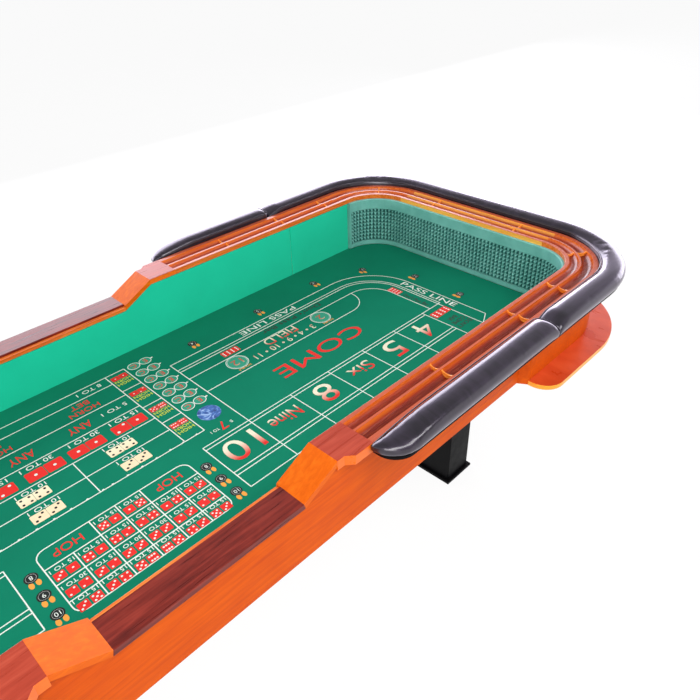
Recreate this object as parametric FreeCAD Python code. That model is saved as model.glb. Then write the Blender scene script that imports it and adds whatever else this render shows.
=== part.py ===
"""Craps table: two box pedestals carry a framed deck with a walled, felted tub.

Millimetres, +Z up. The origin is on the floor under the middle of the table.
+X runs along the table, and +Y runs across it from the stick side (near) to the
base side (far).

Everything round the tub is placed by its offset from the wall line, a rounded
rectangle that the padded wall faces follow: a negative offset is inside the tub.
"""
import FreeCAD, Part
import os
from math import cos, hypot, radians, sin, sqrt

V = FreeCAD.Vector
os.makedirs("parts", exist_ok=True)

# Driving dimensions: the tub
FELT_HEIGHT = 711.0
WALL_HALF_LENGTH = 1629.0
WALL_HALF_WIDTH = 486.0
WALL_CORNER_RADIUS = 155.0
MODULE_JOINT_X = 1141.0

# Deck
LAYOUT_THICKNESS = 2.0
UNDERLAY_THICKNESS = 3.0
DECK_THICKNESS = 12.0

# Walls, measured as offsets from the wall line
WALL_PAD_THICKNESS = 4.0
WALL_BOARD_THICKNESS = 18.0
WALL_PAD_RISE = 207.0
LOW_WALL_PAD_RISE = 151.0
RUBBER_PROUD = 12.0
RUBBER_START_X = 1467.0

# Timber rail
RAIL_RISE = 224.0
RAIL_THICKNESS = 28.0
RAIL_LIP_OFFSET = -3.0
RAIL_OUTER_OFFSET = 106.0
RAIL_EDGE_ROUND = 2.0
MITRE_ANGLE = 45.0
INNER_GROOVE_OFFSET = 26.0
INNER_GROOVE_RADIUS = 16.0
OUTER_GROOVE_OFFSET = 68.5
OUTER_GROOVE_RADIUS = 19.5
DIVIDER_THICKNESS = 4.0
DIVIDER_TOP_DROP = 2.0
DIVIDER_DISH = 6.0

# Low sections of the rail, where the crew reach over the wall
LOW_RISE = 170.0
CAP_THICKNESS = 15.0
CAP_OUTER_OFFSET = 89.0
LOW_TRIM_RISE = 163.0
LOW_TRIM_WIDTH = 13.0
SLOPE_RUN = 104.0
NEAR_LOW_HALF_LENGTH = 226.0
FAR_LOW_HALF_LENGTH = 415.0
BLOCK_LENGTH = 98.0
BLOCK_FLARE_START = 22.0
BLOCK_FLARE_RUN = 20.0

# Aprons and drink shelves
APRON_OFFSET = 80.0
APRON_THICKNESS = 15.0
APRON_BOTTOM_DROP = 16.0
END_APRON_OFFSET = 109.0
END_APRON_START_X = 1130.0
END_APRON_CHAMFER = 18.0
APRON_LAP = 30.0
SHELF_OFFSET = 190.0
SHELF_THICKNESS = 16.0
SHELF_START_X = 1147.0
SHELF_CORNER_RADIUS = 68.0

# Armrest cushions and what holds them
CUSHION_JOINT_X = 1128.0
CUSHION_GAP = 1.0
CUSHION_INNER_OFFSET = 107.0
CUSHION_OUTER_OFFSET = 194.0
CUSHION_BOTTOM_RISE = 204.0
CUSHION_INNER_RISE = 247.0
CUSHION_CROWN_RISE = 250.0
CUSHION_CROWN_SHARE = 0.4
CUSHION_OUTER_RISE = 236.0
CUSHION_END_RADIUS = 72.0
CUSHION_EDGE_ROUND = 9.0
CUSHION_OVERHANG = 14.0
CUSHION_START_SHARE = 0.5
CUSHION_START_RUN = 190.0
ARMREST_BOARD_THICKNESS = 8.0
ARMREST_BOARD_OUTER_OFFSET = 182.0
BRACKET_WIDTH = 30.0
BRACKET_THICKNESS = 4.0
BRACKET_DROP = 55.0
BRACKET_REACH = 168.0
NEAR_BRACKET_POSITIONS = (500.0, 780.0, 1060.0)
FAR_BRACKET_POSITIONS = (680.0, 870.0, 1060.0)

# Pedestals and underframe
PEDESTAL_X = 1287.0
BASE_LENGTH = 155.0
BASE_WIDTH = 596.0
BASE_THICKNESS = 12.0
BASE_CHAMFER = 2.0
COLUMN_LENGTH = 131.0
COLUMN_WIDTH = 572.0
COLUMN_WALL = 4.0
COLUMN_CORNER_RADIUS = 5.0
COLUMN_INNER_RADIUS = 2.0
TOP_PLATE_LENGTH = 230.0
TOP_PLATE_WIDTH = 640.0
TOP_PLATE_THICKNESS = 8.0
BEAM_HEIGHT = 60.0
BEAM_WIDTH = 40.0
BEAM_Y = 250.0
BEAM_HALF_LENGTH = 1480.0
CROSS_BEAM_POSITIONS = (-1480.0, -1000.0, -500.0, 0.0, 500.0, 1000.0, 1480.0)
CROSS_BEAM_WIDTH = 38.0
CROSS_BEAM_REACH = 440.0
BOLT_RADIUS = 5.0
BOLT_HOLE_RADIUS = 5.5
BOLT_HEAD_RADIUS = 9.0
BOLT_HEAD_HEIGHT = 6.4
BOLT_LENGTH = 36.0
BOLT_SPACING_X = 190.0

# Where the plates that divide the chip grooves stand
NEAR_DIVIDER_X = 760.0
FAR_DIVIDER_X = 866.0
JOINT_DIVIDER_X = MODULE_JOINT_X - 5.0
END_MODULE_DIVIDER_X = 1370.0
END_DIVIDER_Y = 190.0
CORNER_DIVIDER_TURN = 6.0

# Heights worked out from the driving dimensions
DECK_TOP = FELT_HEIGHT - LAYOUT_THICKNESS - UNDERLAY_THICKNESS
DECK_BOTTOM = DECK_TOP - DECK_THICKNESS
BEAM_BOTTOM = DECK_BOTTOM - BEAM_HEIGHT
COLUMN_TOP = BEAM_BOTTOM - TOP_PLATE_THICKNESS
RAIL_TOP = FELT_HEIGHT + RAIL_RISE
RAIL_BOTTOM = RAIL_TOP - RAIL_THICKNESS
PAD_TOP = FELT_HEIGHT + WALL_PAD_RISE
LOW_TOP = FELT_HEIGHT + LOW_RISE
LOW_CAP_BOTTOM = LOW_TOP - CAP_THICKNESS
APRON_BOTTOM = FELT_HEIGHT - APRON_BOTTOM_DROP
SLOPE_RISE = RAIL_RISE - LOW_RISE
SLOPE_DROP = CAP_THICKNESS * hypot(SLOPE_RUN, SLOPE_RISE) / SLOPE_RUN
SLOPE_SLANT = (LOW_CAP_BOTTOM - LOW_TOP + SLOPE_DROP) * SLOPE_RUN / SLOPE_RISE
CUSHION_BOTTOM = FELT_HEIGHT + CUSHION_BOTTOM_RISE
CUSHION_TOP = FELT_HEIGHT + CUSHION_CROWN_RISE
CORNER_X = WALL_HALF_LENGTH - WALL_CORNER_RADIUS
CORNER_Y = WALL_HALF_WIDTH - WALL_CORNER_RADIUS
WALL_OUTER_OFFSET = WALL_PAD_THICKNESS + WALL_BOARD_THICKNESS
FAR_AWAY = 3000.0


def save(name, shape):
    """Write one node, as a single solid or as a compound of separate solids."""
    shape.exportStep(f"parts/{name}.step")


def box(x0, x1, y0, y1, z0, z1):
    return Part.makeBox(x1 - x0, y1 - y0, z1 - z0, V(x0, y0, z0))


def mirror_x(shape):
    return shape.mirror(V(0, 0, 0), V(1, 0, 0))


def mirror_y(shape):
    return shape.mirror(V(0, 0, 0), V(0, 1, 0))


def polygon(points):
    return Part.Face(Part.makePolygon([*points, points[0]]))


def rounded_plate(offset, bottom, top):
    """A slab whose outline is the wall line moved out by offset."""
    half_length = WALL_HALF_LENGTH + offset
    half_width = WALL_HALF_WIDTH + offset
    slab = box(-half_length, half_length, -half_width, half_width, bottom, top)
    uprights = [edge for edge in slab.Edges
                if abs(edge.Vertexes[0].X - edge.Vertexes[1].X) < 1e-6
                and abs(edge.Vertexes[0].Y - edge.Vertexes[1].Y) < 1e-6]
    return slab.makeFillet(WALL_CORNER_RADIUS + offset, uprights)


def ring(inner, outer, bottom, top):
    """A band round the table between two offsets."""
    return rounded_plate(outer, bottom, top).cut(rounded_plate(inner, bottom, top))


def right_of(shape, x):
    return shape.common(box(x, FAR_AWAY, -FAR_AWAY, FAR_AWAY, -FAR_AWAY, FAR_AWAY))


def near_strip(face, x0, x1):
    """Extrude a section drawn in the YZ plane from x0 to x1."""
    strip = face.extrude(V(x1 - x0, 0, 0))
    strip.translate(V(x0, 0, 0))
    return strip


def near_point(offset, z):
    """A point of a section drawn in the YZ plane, outside the near wall line."""
    return V(0, -WALL_HALF_WIDTH - offset, z)


def side_board(profile, inner, outer, side):
    """A board along one side, from its outline in X and Z and its two offsets."""
    face = polygon([V(x, 0, z) for x, z in profile])
    board = face.extrude(V(0, outer - inner, 0))
    board.translate(V(0, WALL_HALF_WIDTH + inner, 0))
    return board if side > 0 else mirror_y(board)


def stepped_profile(half_length, low_half, bottom, low_top, high_top):
    """Outline of a side board whose top drops under the low section of the rail."""
    slope_top_x = low_half + SLOPE_RUN
    slope_under_z = RAIL_TOP - SLOPE_DROP
    low_x = slope_top_x - (slope_under_z - low_top) * SLOPE_RUN / SLOPE_RISE
    right = [(half_length, bottom), (half_length, high_top), (slope_top_x, high_top),
             (slope_top_x, slope_under_z), (low_x, low_top)]
    return right + [(-x, z) for x, z in reversed(right)]


# ---------------------------------------------------------------- pedestals
def pedestal(side):
    """Base plate, hollow column and top plate of one pedestal."""
    x = side * PEDESTAL_X
    base = box(x - BASE_LENGTH / 2, x + BASE_LENGTH / 2,
               -BASE_WIDTH / 2, BASE_WIDTH / 2, 0, BASE_THICKNESS)
    top_edges = [edge for edge in base.Edges
                 if all(vertex.Z > BASE_THICKNESS - 1e-6 for vertex in edge.Vertexes)]
    base = base.makeChamfer(BASE_CHAMFER, top_edges)

    def tube(inset, radius):
        solid = box(x - COLUMN_LENGTH / 2 + inset, x + COLUMN_LENGTH / 2 - inset,
                    -COLUMN_WIDTH / 2 + inset, COLUMN_WIDTH / 2 - inset,
                    BASE_THICKNESS, COLUMN_TOP)
        uprights = [edge for edge in solid.Edges if edge.Length > COLUMN_TOP - BASE_THICKNESS - 1
                    and abs(edge.Vertexes[0].Z - edge.Vertexes[1].Z) > 1]
        return solid.makeFillet(radius, uprights)

    column = tube(0, COLUMN_CORNER_RADIUS).cut(tube(COLUMN_WALL, COLUMN_INNER_RADIUS))
    top = box(x - TOP_PLATE_LENGTH / 2, x + TOP_PLATE_LENGTH / 2,
              -TOP_PLATE_WIDTH / 2, TOP_PLATE_WIDTH / 2, COLUMN_TOP, BEAM_BOTTOM)
    for bolt_x, bolt_y in bolt_places(side):
        hole = Part.makeCylinder(BOLT_HOLE_RADIUS, TOP_PLATE_THICKNESS,
                                 V(bolt_x, bolt_y, COLUMN_TOP))
        top = top.cut(hole)
    return base, column, top


def bolt_places(side):
    return [(side * PEDESTAL_X + sx * BOLT_SPACING_X / 2, sy * BEAM_Y)
            for sx in (-1, 1) for sy in (-1, 1)]


def hexagon_bolt(x, y):
    """A bolt driven up through a top plate into a long beam."""
    corners = [V(x + BOLT_HEAD_RADIUS * cos(radians(60 * i)),
                 y + BOLT_HEAD_RADIUS * sin(radians(60 * i)),
                 COLUMN_TOP - BOLT_HEAD_HEIGHT) for i in range(6)]
    head = polygon(corners).extrude(V(0, 0, BOLT_HEAD_HEIGHT))
    shank = Part.makeCylinder(BOLT_RADIUS, BOLT_LENGTH, V(x, y, COLUMN_TOP))
    return head.fuse(shank).removeSplitter()


base_left, column_left, top_left = pedestal(-1)
base_right, column_right, top_right = pedestal(1)
save("base_plates", Part.makeCompound([base_left, base_right]))
save("pedestal_column_left", column_left)
save("pedestal_column_right", column_right)
save("pedestal_top_plates", Part.makeCompound([top_left, top_right]))
bolts = [hexagon_bolt(x, y) for side in (-1, 1) for x, y in bolt_places(side)]
save("pedestal_bolts", Part.makeCompound(bolts))


# --------------------------------------------------------------- underframe
def long_beam(side):
    beam = box(-BEAM_HALF_LENGTH, BEAM_HALF_LENGTH, side * BEAM_Y - BEAM_WIDTH / 2,
               side * BEAM_Y + BEAM_WIDTH / 2, BEAM_BOTTOM, DECK_BOTTOM)
    for end in (-1, 1):
        for x, y in bolt_places(end):
            beam = beam.cut(Part.makeCylinder(BOLT_RADIUS, BOLT_LENGTH, V(x, y, COLUMN_TOP)))
    return beam


def cross_beam_pieces(x):
    """Three lengths of one cross beam, let in between and outside the long beams."""
    x0, x1 = x - CROSS_BEAM_WIDTH / 2, x + CROSS_BEAM_WIDTH / 2
    if abs(x) == BEAM_HALF_LENGTH:
        shift = CROSS_BEAM_WIDTH / 2 if x > 0 else -CROSS_BEAM_WIDTH / 2
        return [box(x0 + shift, x1 + shift, -CORNER_Y, CORNER_Y, BEAM_BOTTOM, DECK_BOTTOM)]
    inner = BEAM_Y - BEAM_WIDTH / 2
    outer = BEAM_Y + BEAM_WIDTH / 2
    return [box(x0, x1, -inner, inner, BEAM_BOTTOM, DECK_BOTTOM),
            box(x0, x1, outer, CROSS_BEAM_REACH, BEAM_BOTTOM, DECK_BOTTOM),
            box(x0, x1, -CROSS_BEAM_REACH, -outer, BEAM_BOTTOM, DECK_BOTTOM)]


save("frame_beams", Part.makeCompound([long_beam(-1), long_beam(1)]))
crosses = [piece for x in CROSS_BEAM_POSITIONS for piece in cross_beam_pieces(x)]
save("cross_beams", Part.makeCompound(crosses))

# --------------------------------------------------------------------- deck
side_apron_inner = WALL_HALF_WIDTH + APRON_OFFSET - APRON_THICKNESS
save("deck_centre", box(-MODULE_JOINT_X, MODULE_JOINT_X, -side_apron_inner, side_apron_inner,
                        DECK_BOTTOM, DECK_TOP))
deck_right = right_of(rounded_plate(APRON_OFFSET, DECK_BOTTOM, DECK_TOP), MODULE_JOINT_X)
for side in (-1, 1):
    y0, y1 = sorted((side * side_apron_inner, side * FAR_AWAY))
    deck_right = deck_right.cut(box(MODULE_JOINT_X, END_APRON_START_X + APRON_LAP,
                                    y0, y1, DECK_BOTTOM, DECK_TOP))
save("deck_right", deck_right)
save("deck_left", mirror_x(deck_right))
UNDERLAY_TOP = DECK_TOP + UNDERLAY_THICKNESS


def playing_sheet(bottom, top):
    """A sheet that fills the tub between the side pads and the rubber end liners."""
    middle = box(-RUBBER_START_X, RUBBER_START_X, -WALL_HALF_WIDTH, WALL_HALF_WIDTH, bottom, top)
    return rounded_plate(-RUBBER_PROUD, bottom, top).fuse(middle).removeSplitter()


save("table_underlay", playing_sheet(DECK_TOP, UNDERLAY_TOP))
save("layout_felt", playing_sheet(UNDERLAY_TOP, FELT_HEIGHT))

# -------------------------------------------------------------------- walls
def centre_side(name, side, low_half):
    """Wall board, wall pad and apron of one long side of the centre module."""
    board = stepped_profile(MODULE_JOINT_X, low_half, DECK_TOP, LOW_CAP_BOTTOM, RAIL_BOTTOM)
    save(f"wall_board_{name}", side_board(board, WALL_PAD_THICKNESS, WALL_OUTER_OFFSET, side))
    pad = stepped_profile(MODULE_JOINT_X, low_half, DECK_TOP,
                          FELT_HEIGHT + LOW_WALL_PAD_RISE, PAD_TOP)
    save(f"wall_pad_{name}", side_board(pad, 0, WALL_PAD_THICKNESS, side))
    apron = stepped_profile(END_APRON_START_X + APRON_LAP, low_half, APRON_BOTTOM,
                            LOW_CAP_BOTTOM, RAIL_BOTTOM)
    save(f"apron_{name}", side_board(apron, APRON_OFFSET - APRON_THICKNESS,
                                     APRON_OFFSET, side))


centre_side("near", -1, NEAR_LOW_HALF_LENGTH)
centre_side("far", 1, FAR_LOW_HALF_LENGTH)

end_wall = right_of(ring(WALL_PAD_THICKNESS, WALL_OUTER_OFFSET, DECK_TOP, RAIL_BOTTOM),
                    MODULE_JOINT_X)
save("wall_board_right", end_wall)
save("wall_board_left", mirror_x(end_wall))

short_pad = box(MODULE_JOINT_X, RUBBER_START_X, WALL_HALF_WIDTH,
                WALL_HALF_WIDTH + WALL_PAD_THICKNESS, DECK_TOP, PAD_TOP)
short_pads = [short_pad, mirror_x(short_pad), mirror_y(short_pad),
              mirror_x(mirror_y(short_pad))]
save("end_wall_pads", Part.makeCompound(short_pads))

rubber = right_of(ring(-RUBBER_PROUD, WALL_PAD_THICKNESS, DECK_TOP, PAD_TOP), RUBBER_START_X)
under_rubber = rounded_plate(-RUBBER_PROUD, DECK_TOP, FELT_HEIGHT)
rubber = rubber.cut(under_rubber)
save("rubber_liner_right", rubber)
save("rubber_liner_left", mirror_x(rubber))


# --------------------------------------------------------- low rail sections
def low_section(name, side, low_half):
    """Cap board and inner moulding of one low section."""
    profile = [(-low_half, LOW_TOP), (low_half, LOW_TOP),
               (low_half + SLOPE_SLANT, LOW_CAP_BOTTOM),
               (-low_half - SLOPE_SLANT, LOW_CAP_BOTTOM)]
    trim_outer = RAIL_LIP_OFFSET + LOW_TRIM_WIDTH
    save(f"low_cap_{name}", side_board(profile, trim_outer, CAP_OUTER_OFFSET, side))
    trim_top = FELT_HEIGHT + LOW_TRIM_RISE
    trim_bottom = FELT_HEIGHT + LOW_WALL_PAD_RISE
    under_at_end = LOW_TOP - SLOPE_DROP
    end_x = low_half - (under_at_end - trim_bottom) * SLOPE_RUN / SLOPE_RISE
    trim = [(-low_half, trim_top), (low_half, trim_top), (low_half, under_at_end),
            (end_x, trim_bottom), (-end_x, trim_bottom), (-low_half, under_at_end)]
    strip = side_board(trim, RAIL_LIP_OFFSET, 0, side)
    backing = [(-low_half, trim_top), (low_half, trim_top), (low_half, LOW_CAP_BOTTOM),
               (-low_half, LOW_CAP_BOTTOM)]
    back = side_board(backing, 0, trim_outer, side)
    save(f"low_trim_{name}", strip.fuse(back).removeSplitter())


low_section("near", -1, NEAR_LOW_HALF_LENGTH)
low_section("far", 1, FAR_LOW_HALF_LENGTH)


def slope_caps(side, low_half):
    """The two ramps that join one low section to the full-height rail."""
    profile = [(low_half, LOW_TOP), (low_half + SLOPE_RUN, RAIL_TOP),
               (low_half + SLOPE_RUN, RAIL_TOP - SLOPE_DROP),
               (low_half + SLOPE_SLANT, LOW_CAP_BOTTOM)]
    ramp = side_board(profile, LOW_TRIM_WIDTH + RAIL_LIP_OFFSET, CAP_OUTER_OFFSET, side)
    inner = [(low_half, LOW_TOP), (low_half + SLOPE_RUN, RAIL_TOP),
             (low_half + SLOPE_RUN, RAIL_TOP - SLOPE_DROP), (low_half, LOW_TOP - SLOPE_DROP)]
    lip = side_board(inner, RAIL_LIP_OFFSET, 0, side)
    over_pad = [(low_half, LOW_TOP), (low_half + SLOPE_RUN, RAIL_TOP),
                (low_half + SLOPE_RUN, RAIL_TOP - SLOPE_DROP),
                (low_half + SLOPE_SLANT, LOW_CAP_BOTTOM), (low_half, LOW_CAP_BOTTOM)]
    middle = side_board(over_pad, 0, LOW_TRIM_WIDTH + RAIL_LIP_OFFSET, side)
    right = ramp.fuse([middle, lip]).removeSplitter()
    return Part.makeCompound([right, mirror_x(right)])


save("slope_caps_near", slope_caps(-1, NEAR_LOW_HALF_LENGTH))
save("slope_caps_far", slope_caps(1, FAR_LOW_HALF_LENGTH))


# --------------------------------------------------------------- chip rails
def rail_section(grooved):
    """Section of the full-height rail in the YZ plane, outside the near wall line."""
    r = RAIL_EDGE_ROUND
    bow = r * (1 - sqrt(0.5))

    def at(offset, rise):
        return near_point(offset, RAIL_TOP + rise)

    lip, outer = RAIL_LIP_OFFSET, RAIL_OUTER_OFFSET
    edges = [Part.Arc(at(lip, -r), at(lip + bow, -bow), at(lip + r, 0)).toShape()]
    here = lip + r
    grooves = ((INNER_GROOVE_OFFSET, INNER_GROOVE_RADIUS),
               (OUTER_GROOVE_OFFSET, OUTER_GROOVE_RADIUS)) if grooved else ()
    for middle, radius in grooves:
        edges.append(Part.makeLine(at(here, 0), at(middle - radius, 0)))
        edges.append(Part.Arc(at(middle - radius, 0), at(middle, -radius),
                              at(middle + radius, 0)).toShape())
        here = middle + radius
    edges.append(Part.makeLine(at(here, 0), at(outer - r, 0)))
    edges.append(Part.Arc(at(outer - r, 0), at(outer - bow, -bow), at(outer, -r)).toShape())
    below = [at(outer, -r), at(outer, -RAIL_THICKNESS), at(WALL_PAD_THICKNESS, -RAIL_THICKNESS),
             at(WALL_PAD_THICKNESS, PAD_TOP - RAIL_TOP), at(lip, PAD_TOP - RAIL_TOP),
             at(lip, -r)]
    edges += [Part.makeLine(a, b) for a, b in zip(below, below[1:])]
    return Part.Face(Part.Wire(edges))


def rail_blocks(side, low_half):
    """Plain blocks between the slopes and the chip rails, flared at their outer edge."""
    x0 = low_half + SLOPE_RUN
    x1 = x0 + BLOCK_LENGTH
    block = near_strip(rail_section(False), x0, x1)
    y_cap = -WALL_HALF_WIDTH - CAP_OUTER_OFFSET
    y_rail = -WALL_HALF_WIDTH - RAIL_OUTER_OFFSET - 1
    flare = x0 + BLOCK_FLARE_START
    waste = polygon([V(x0 - 1, y_cap, RAIL_BOTTOM - 1), V(flare, y_cap, RAIL_BOTTOM - 1),
                     V(flare + BLOCK_FLARE_RUN, y_rail, RAIL_BOTTOM - 1),
                     V(x0 - 1, y_rail, RAIL_BOTTOM - 1)])
    block = block.cut(waste.extrude(V(0, 0, RAIL_THICKNESS + 2)))
    if side > 0:
        block = mirror_y(block)
    return block, mirror_x(block)


def corner_point(side, angle):
    """A point of the wall line on the near or far right corner."""
    return V(CORNER_X + WALL_CORNER_RADIUS * cos(radians(angle)),
             side * CORNER_Y + WALL_CORNER_RADIUS * sin(radians(angle)), 0)


def corner_arc(side, start_angle, end_angle):
    """A stretch of the wall line round the near or far right corner."""
    middle = (start_angle + end_angle) / 2
    return Part.Arc(corner_point(side, start_angle), corner_point(side, middle),
                    corner_point(side, end_angle)).toShape()


END_LINE = Part.makeLine(corner_point(-1, 0), corner_point(1, 0))


def follow(path, section, start_angle):
    """Sweep a near-side section along edges of the wall line."""
    path = Part.Wire(path)
    start = path.Edges[0].valueAt(path.Edges[0].FirstParameter)
    placed = section.copy()
    placed.translate(V(0, WALL_HALF_WIDTH, 0))
    placed.rotate(V(0, 0, 0), V(0, 0, 1), start_angle + 90)
    placed.translate(start)
    swept = path.makePipe(placed)
    return swept if swept.ShapeType == "Solid" else Part.Solid(swept.Shells[0])


grooved_rail = rail_section(True)


def straight_rails(side, x0, x1):
    """A grooved length of one long side, and its mirror image at the other end."""
    rail = near_strip(grooved_rail, x0, x1)
    if side > 0:
        rail = mirror_y(rail)
    return rail, mirror_x(rail)


def corner_halves():
    """The two halves of the near right corner, which meet in a mitre."""
    return [follow([corner_arc(-1, start, start + MITRE_ANGLE)], grooved_rail, start)
            for start in (-90, -MITRE_ANGLE)]


corner_rail = Part.makeCompound(corner_halves())
for name, side, low_half in (("near", -1, NEAR_LOW_HALF_LENGTH),
                             ("far", 1, FAR_LOW_HALF_LENGTH)):
    block_right, block_left = rail_blocks(side, low_half)
    save(f"rail_block_{name}_right", block_right)
    save(f"rail_block_{name}_left", block_left)
    rail_start = low_half + SLOPE_RUN + BLOCK_LENGTH
    rail_right, rail_left = straight_rails(side, rail_start, MODULE_JOINT_X)
    save(f"chip_rail_{name}_right", rail_right)
    save(f"chip_rail_{name}_left", rail_left)
    short_right, short_left = straight_rails(side, MODULE_JOINT_X, CORNER_X)
    save(f"end_module_rail_{name}_right", short_right)
    save(f"end_module_rail_{name}_left", short_left)
    corner_right = corner_rail if side < 0 else mirror_y(corner_rail)
    save(f"corner_rail_{name}_right", corner_right)
    save(f"corner_rail_{name}_left", mirror_x(corner_right))

end_half = follow([Part.makeLine(corner_point(-1, 0), V(WALL_HALF_LENGTH, 0, 0))],
                  grooved_rail, 0)
end_rail = Part.makeCompound([end_half, mirror_y(end_half)])
save("end_rail_right", end_rail)
save("end_rail_left", mirror_x(end_rail))


# ----------------------------------------------------------------- dividers
def divider(middle, radius):
    """A thin plate that fills a groove, dished along its top edge."""
    top = RAIL_TOP - DIVIDER_TOP_DROP
    half = sqrt(radius**2 - DIVIDER_TOP_DROP**2)
    edges = [Part.Arc(near_point(middle - half, top), near_point(middle, RAIL_TOP - radius),
                      near_point(middle + half, top)).toShape(),
             Part.Arc(near_point(middle + half, top), near_point(middle, top - DIVIDER_DISH),
                      near_point(middle - half, top)).toShape()]
    plate = Part.Face(Part.Wire(edges)).extrude(V(DIVIDER_THICKNESS, 0, 0))
    plate.translate(V(-DIVIDER_THICKNESS / 2, WALL_HALF_WIDTH, 0))
    return plate


def place_on_wall_line(shape, x, y, angle):
    """Move a shape to a point of the wall line whose outward direction is angle."""
    moved = shape.copy()
    moved.rotate(V(0, 0, 0), V(0, 0, 1), angle + 90)
    moved.translate(V(x, y, 0))
    return moved


dividers = []
for middle, radius in ((INNER_GROOVE_OFFSET, INNER_GROOVE_RADIUS),
                       (OUTER_GROOVE_OFFSET, OUTER_GROOVE_RADIUS)):
    plate = divider(middle, radius)
    turn = MITRE_ANGLE - CORNER_DIVIDER_TURN
    stations = [(NEAR_DIVIDER_X, -WALL_HALF_WIDTH, -90), (FAR_DIVIDER_X, WALL_HALF_WIDTH, 90)]
    for side in (-1, 1):
        at_corner = corner_point(side, side * turn)
        stations += [(JOINT_DIVIDER_X, side * WALL_HALF_WIDTH, side * 90),
                     (END_MODULE_DIVIDER_X, side * WALL_HALF_WIDTH, side * 90),
                     (WALL_HALF_LENGTH, side * END_DIVIDER_Y, 0),
                     (at_corner.x, at_corner.y, side * turn)]
    for x, y, angle in stations:
        right = place_on_wall_line(plate, x, y, angle)
        dividers += [right, mirror_x(right)]
save("chip_rail_dividers", Part.makeCompound(dividers))


# ------------------------------------------------- end aprons and drink shelves
def end_apron():
    """The apron round one end, chamfered where it steps out from the side aprons."""
    band = right_of(ring(APRON_OFFSET, END_APRON_OFFSET, APRON_BOTTOM, RAIL_BOTTOM),
                    END_APRON_START_X)
    for side in (-1, 1):
        inner_y = side * (WALL_HALF_WIDTH + APRON_OFFSET)
        outer_y = side * (WALL_HALF_WIDTH + END_APRON_OFFSET)
        waste = polygon([V(END_APRON_START_X, inner_y, 0), V(END_APRON_START_X, outer_y, 0),
                         V(END_APRON_START_X + END_APRON_CHAMFER, outer_y, 0)])
        band = band.cut(waste.extrude(V(0, 0, RAIL_TOP)))
    return band


def drink_shelf():
    """A flat shelf that runs round one end below the armrest."""
    band = right_of(ring(END_APRON_OFFSET, SHELF_OFFSET, APRON_BOTTOM,
                         APRON_BOTTOM + SHELF_THICKNESS), SHELF_START_X)
    corners = [edge for edge in band.Edges
               if abs(edge.Vertexes[0].X - SHELF_START_X) < 1e-6
               and abs(edge.Length - SHELF_THICKNESS) < 1e-6
               and abs(abs(edge.Vertexes[0].Y) - WALL_HALF_WIDTH - SHELF_OFFSET) < 1e-6
               and abs(edge.Vertexes[0].Z - edge.Vertexes[1].Z) > 1]
    return band.makeFillet(SHELF_CORNER_RADIUS, corners)


apron_right = end_apron()
save("apron_right", apron_right)
save("apron_left", mirror_x(apron_right))
shelf_right = drink_shelf()
save("drink_shelf_right", shelf_right)
save("drink_shelf_left", mirror_x(shelf_right))


# ------------------------------------------------------------ armrest cushions
def cushion_section():
    """Section of an armrest cushion: a low crowned pad that falls away outwards."""
    bottom = CUSHION_BOTTOM
    inner_top = FELT_HEIGHT + CUSHION_INNER_RISE
    outer_top = FELT_HEIGHT + CUSHION_OUTER_RISE
    r = CUSHION_EDGE_ROUND
    bow = r * (1 - sqrt(0.5))
    inner, outer = CUSHION_INNER_OFFSET, CUSHION_OUTER_OFFSET
    crown_offset = inner + CUSHION_CROWN_SHARE * (outer - inner)
    edges = [
        Part.makeLine(near_point(outer, bottom), near_point(inner, bottom)),
        Part.makeLine(near_point(inner, bottom), near_point(inner, inner_top - r)),
        Part.Arc(near_point(inner, inner_top - r), near_point(inner + bow, inner_top - bow),
                 near_point(inner + r, inner_top)).toShape(),
        Part.Arc(near_point(inner + r, inner_top), near_point(crown_offset, CUSHION_TOP),
                 near_point(outer - r, outer_top)).toShape(),
        Part.Arc(near_point(outer - r, outer_top), near_point(outer - bow, outer_top - bow),
                 near_point(outer, outer_top - r)).toShape(),
        Part.makeLine(near_point(outer, outer_top - r), near_point(outer, bottom))]
    return Part.Face(Part.Wire(edges))


def rounded_start(shape, x, outer_offset, radius, bottom, top):
    """Round the outer corner of the left end of a near-side strip."""
    y = -WALL_HALF_WIDTH - outer_offset
    block = box(x, x + radius, y, y + radius, bottom, top)
    disc = Part.makeCylinder(radius, top - bottom, V(x + radius, y + radius, bottom))
    return shape.cut(block.cut(disc))


cushion_profile = cushion_section()


def above_the_rise(x0):
    """The space over the low start of a near cushion, whose top rises from its left end."""
    drop = (1 - CUSHION_START_SHARE) * (CUSHION_TOP - CUSHION_BOTTOM)
    steep = drop / CUSHION_START_RUN
    y = -WALL_HALF_WIDTH - CUSHION_OUTER_OFFSET - 1
    length = CUSHION_START_RUN + 1 / steep
    wedge = polygon([V(x0 - 1, y, CUSHION_TOP - drop - steep), V(x0 + length, y, CUSHION_TOP + 1),
                     V(x0 - 1, y, CUSHION_TOP + 1)])
    return wedge.extrude(V(0, CUSHION_OUTER_OFFSET, 0))


def straight_cushions(name, side, low_half):
    x0 = low_half + SLOPE_RUN + BLOCK_LENGTH - CUSHION_OVERHANG
    pad = near_strip(cushion_profile, x0, CUSHION_JOINT_X - CUSHION_GAP)
    pad = rounded_start(pad, x0, CUSHION_OUTER_OFFSET, CUSHION_END_RADIUS,
                        CUSHION_BOTTOM, CUSHION_TOP)
    pad = pad.cut(above_the_rise(x0))
    if side > 0:
        pad = mirror_y(pad)
    save(f"armrest_cushion_{name}_right", pad)
    save(f"armrest_cushion_{name}_left", mirror_x(pad))


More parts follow.
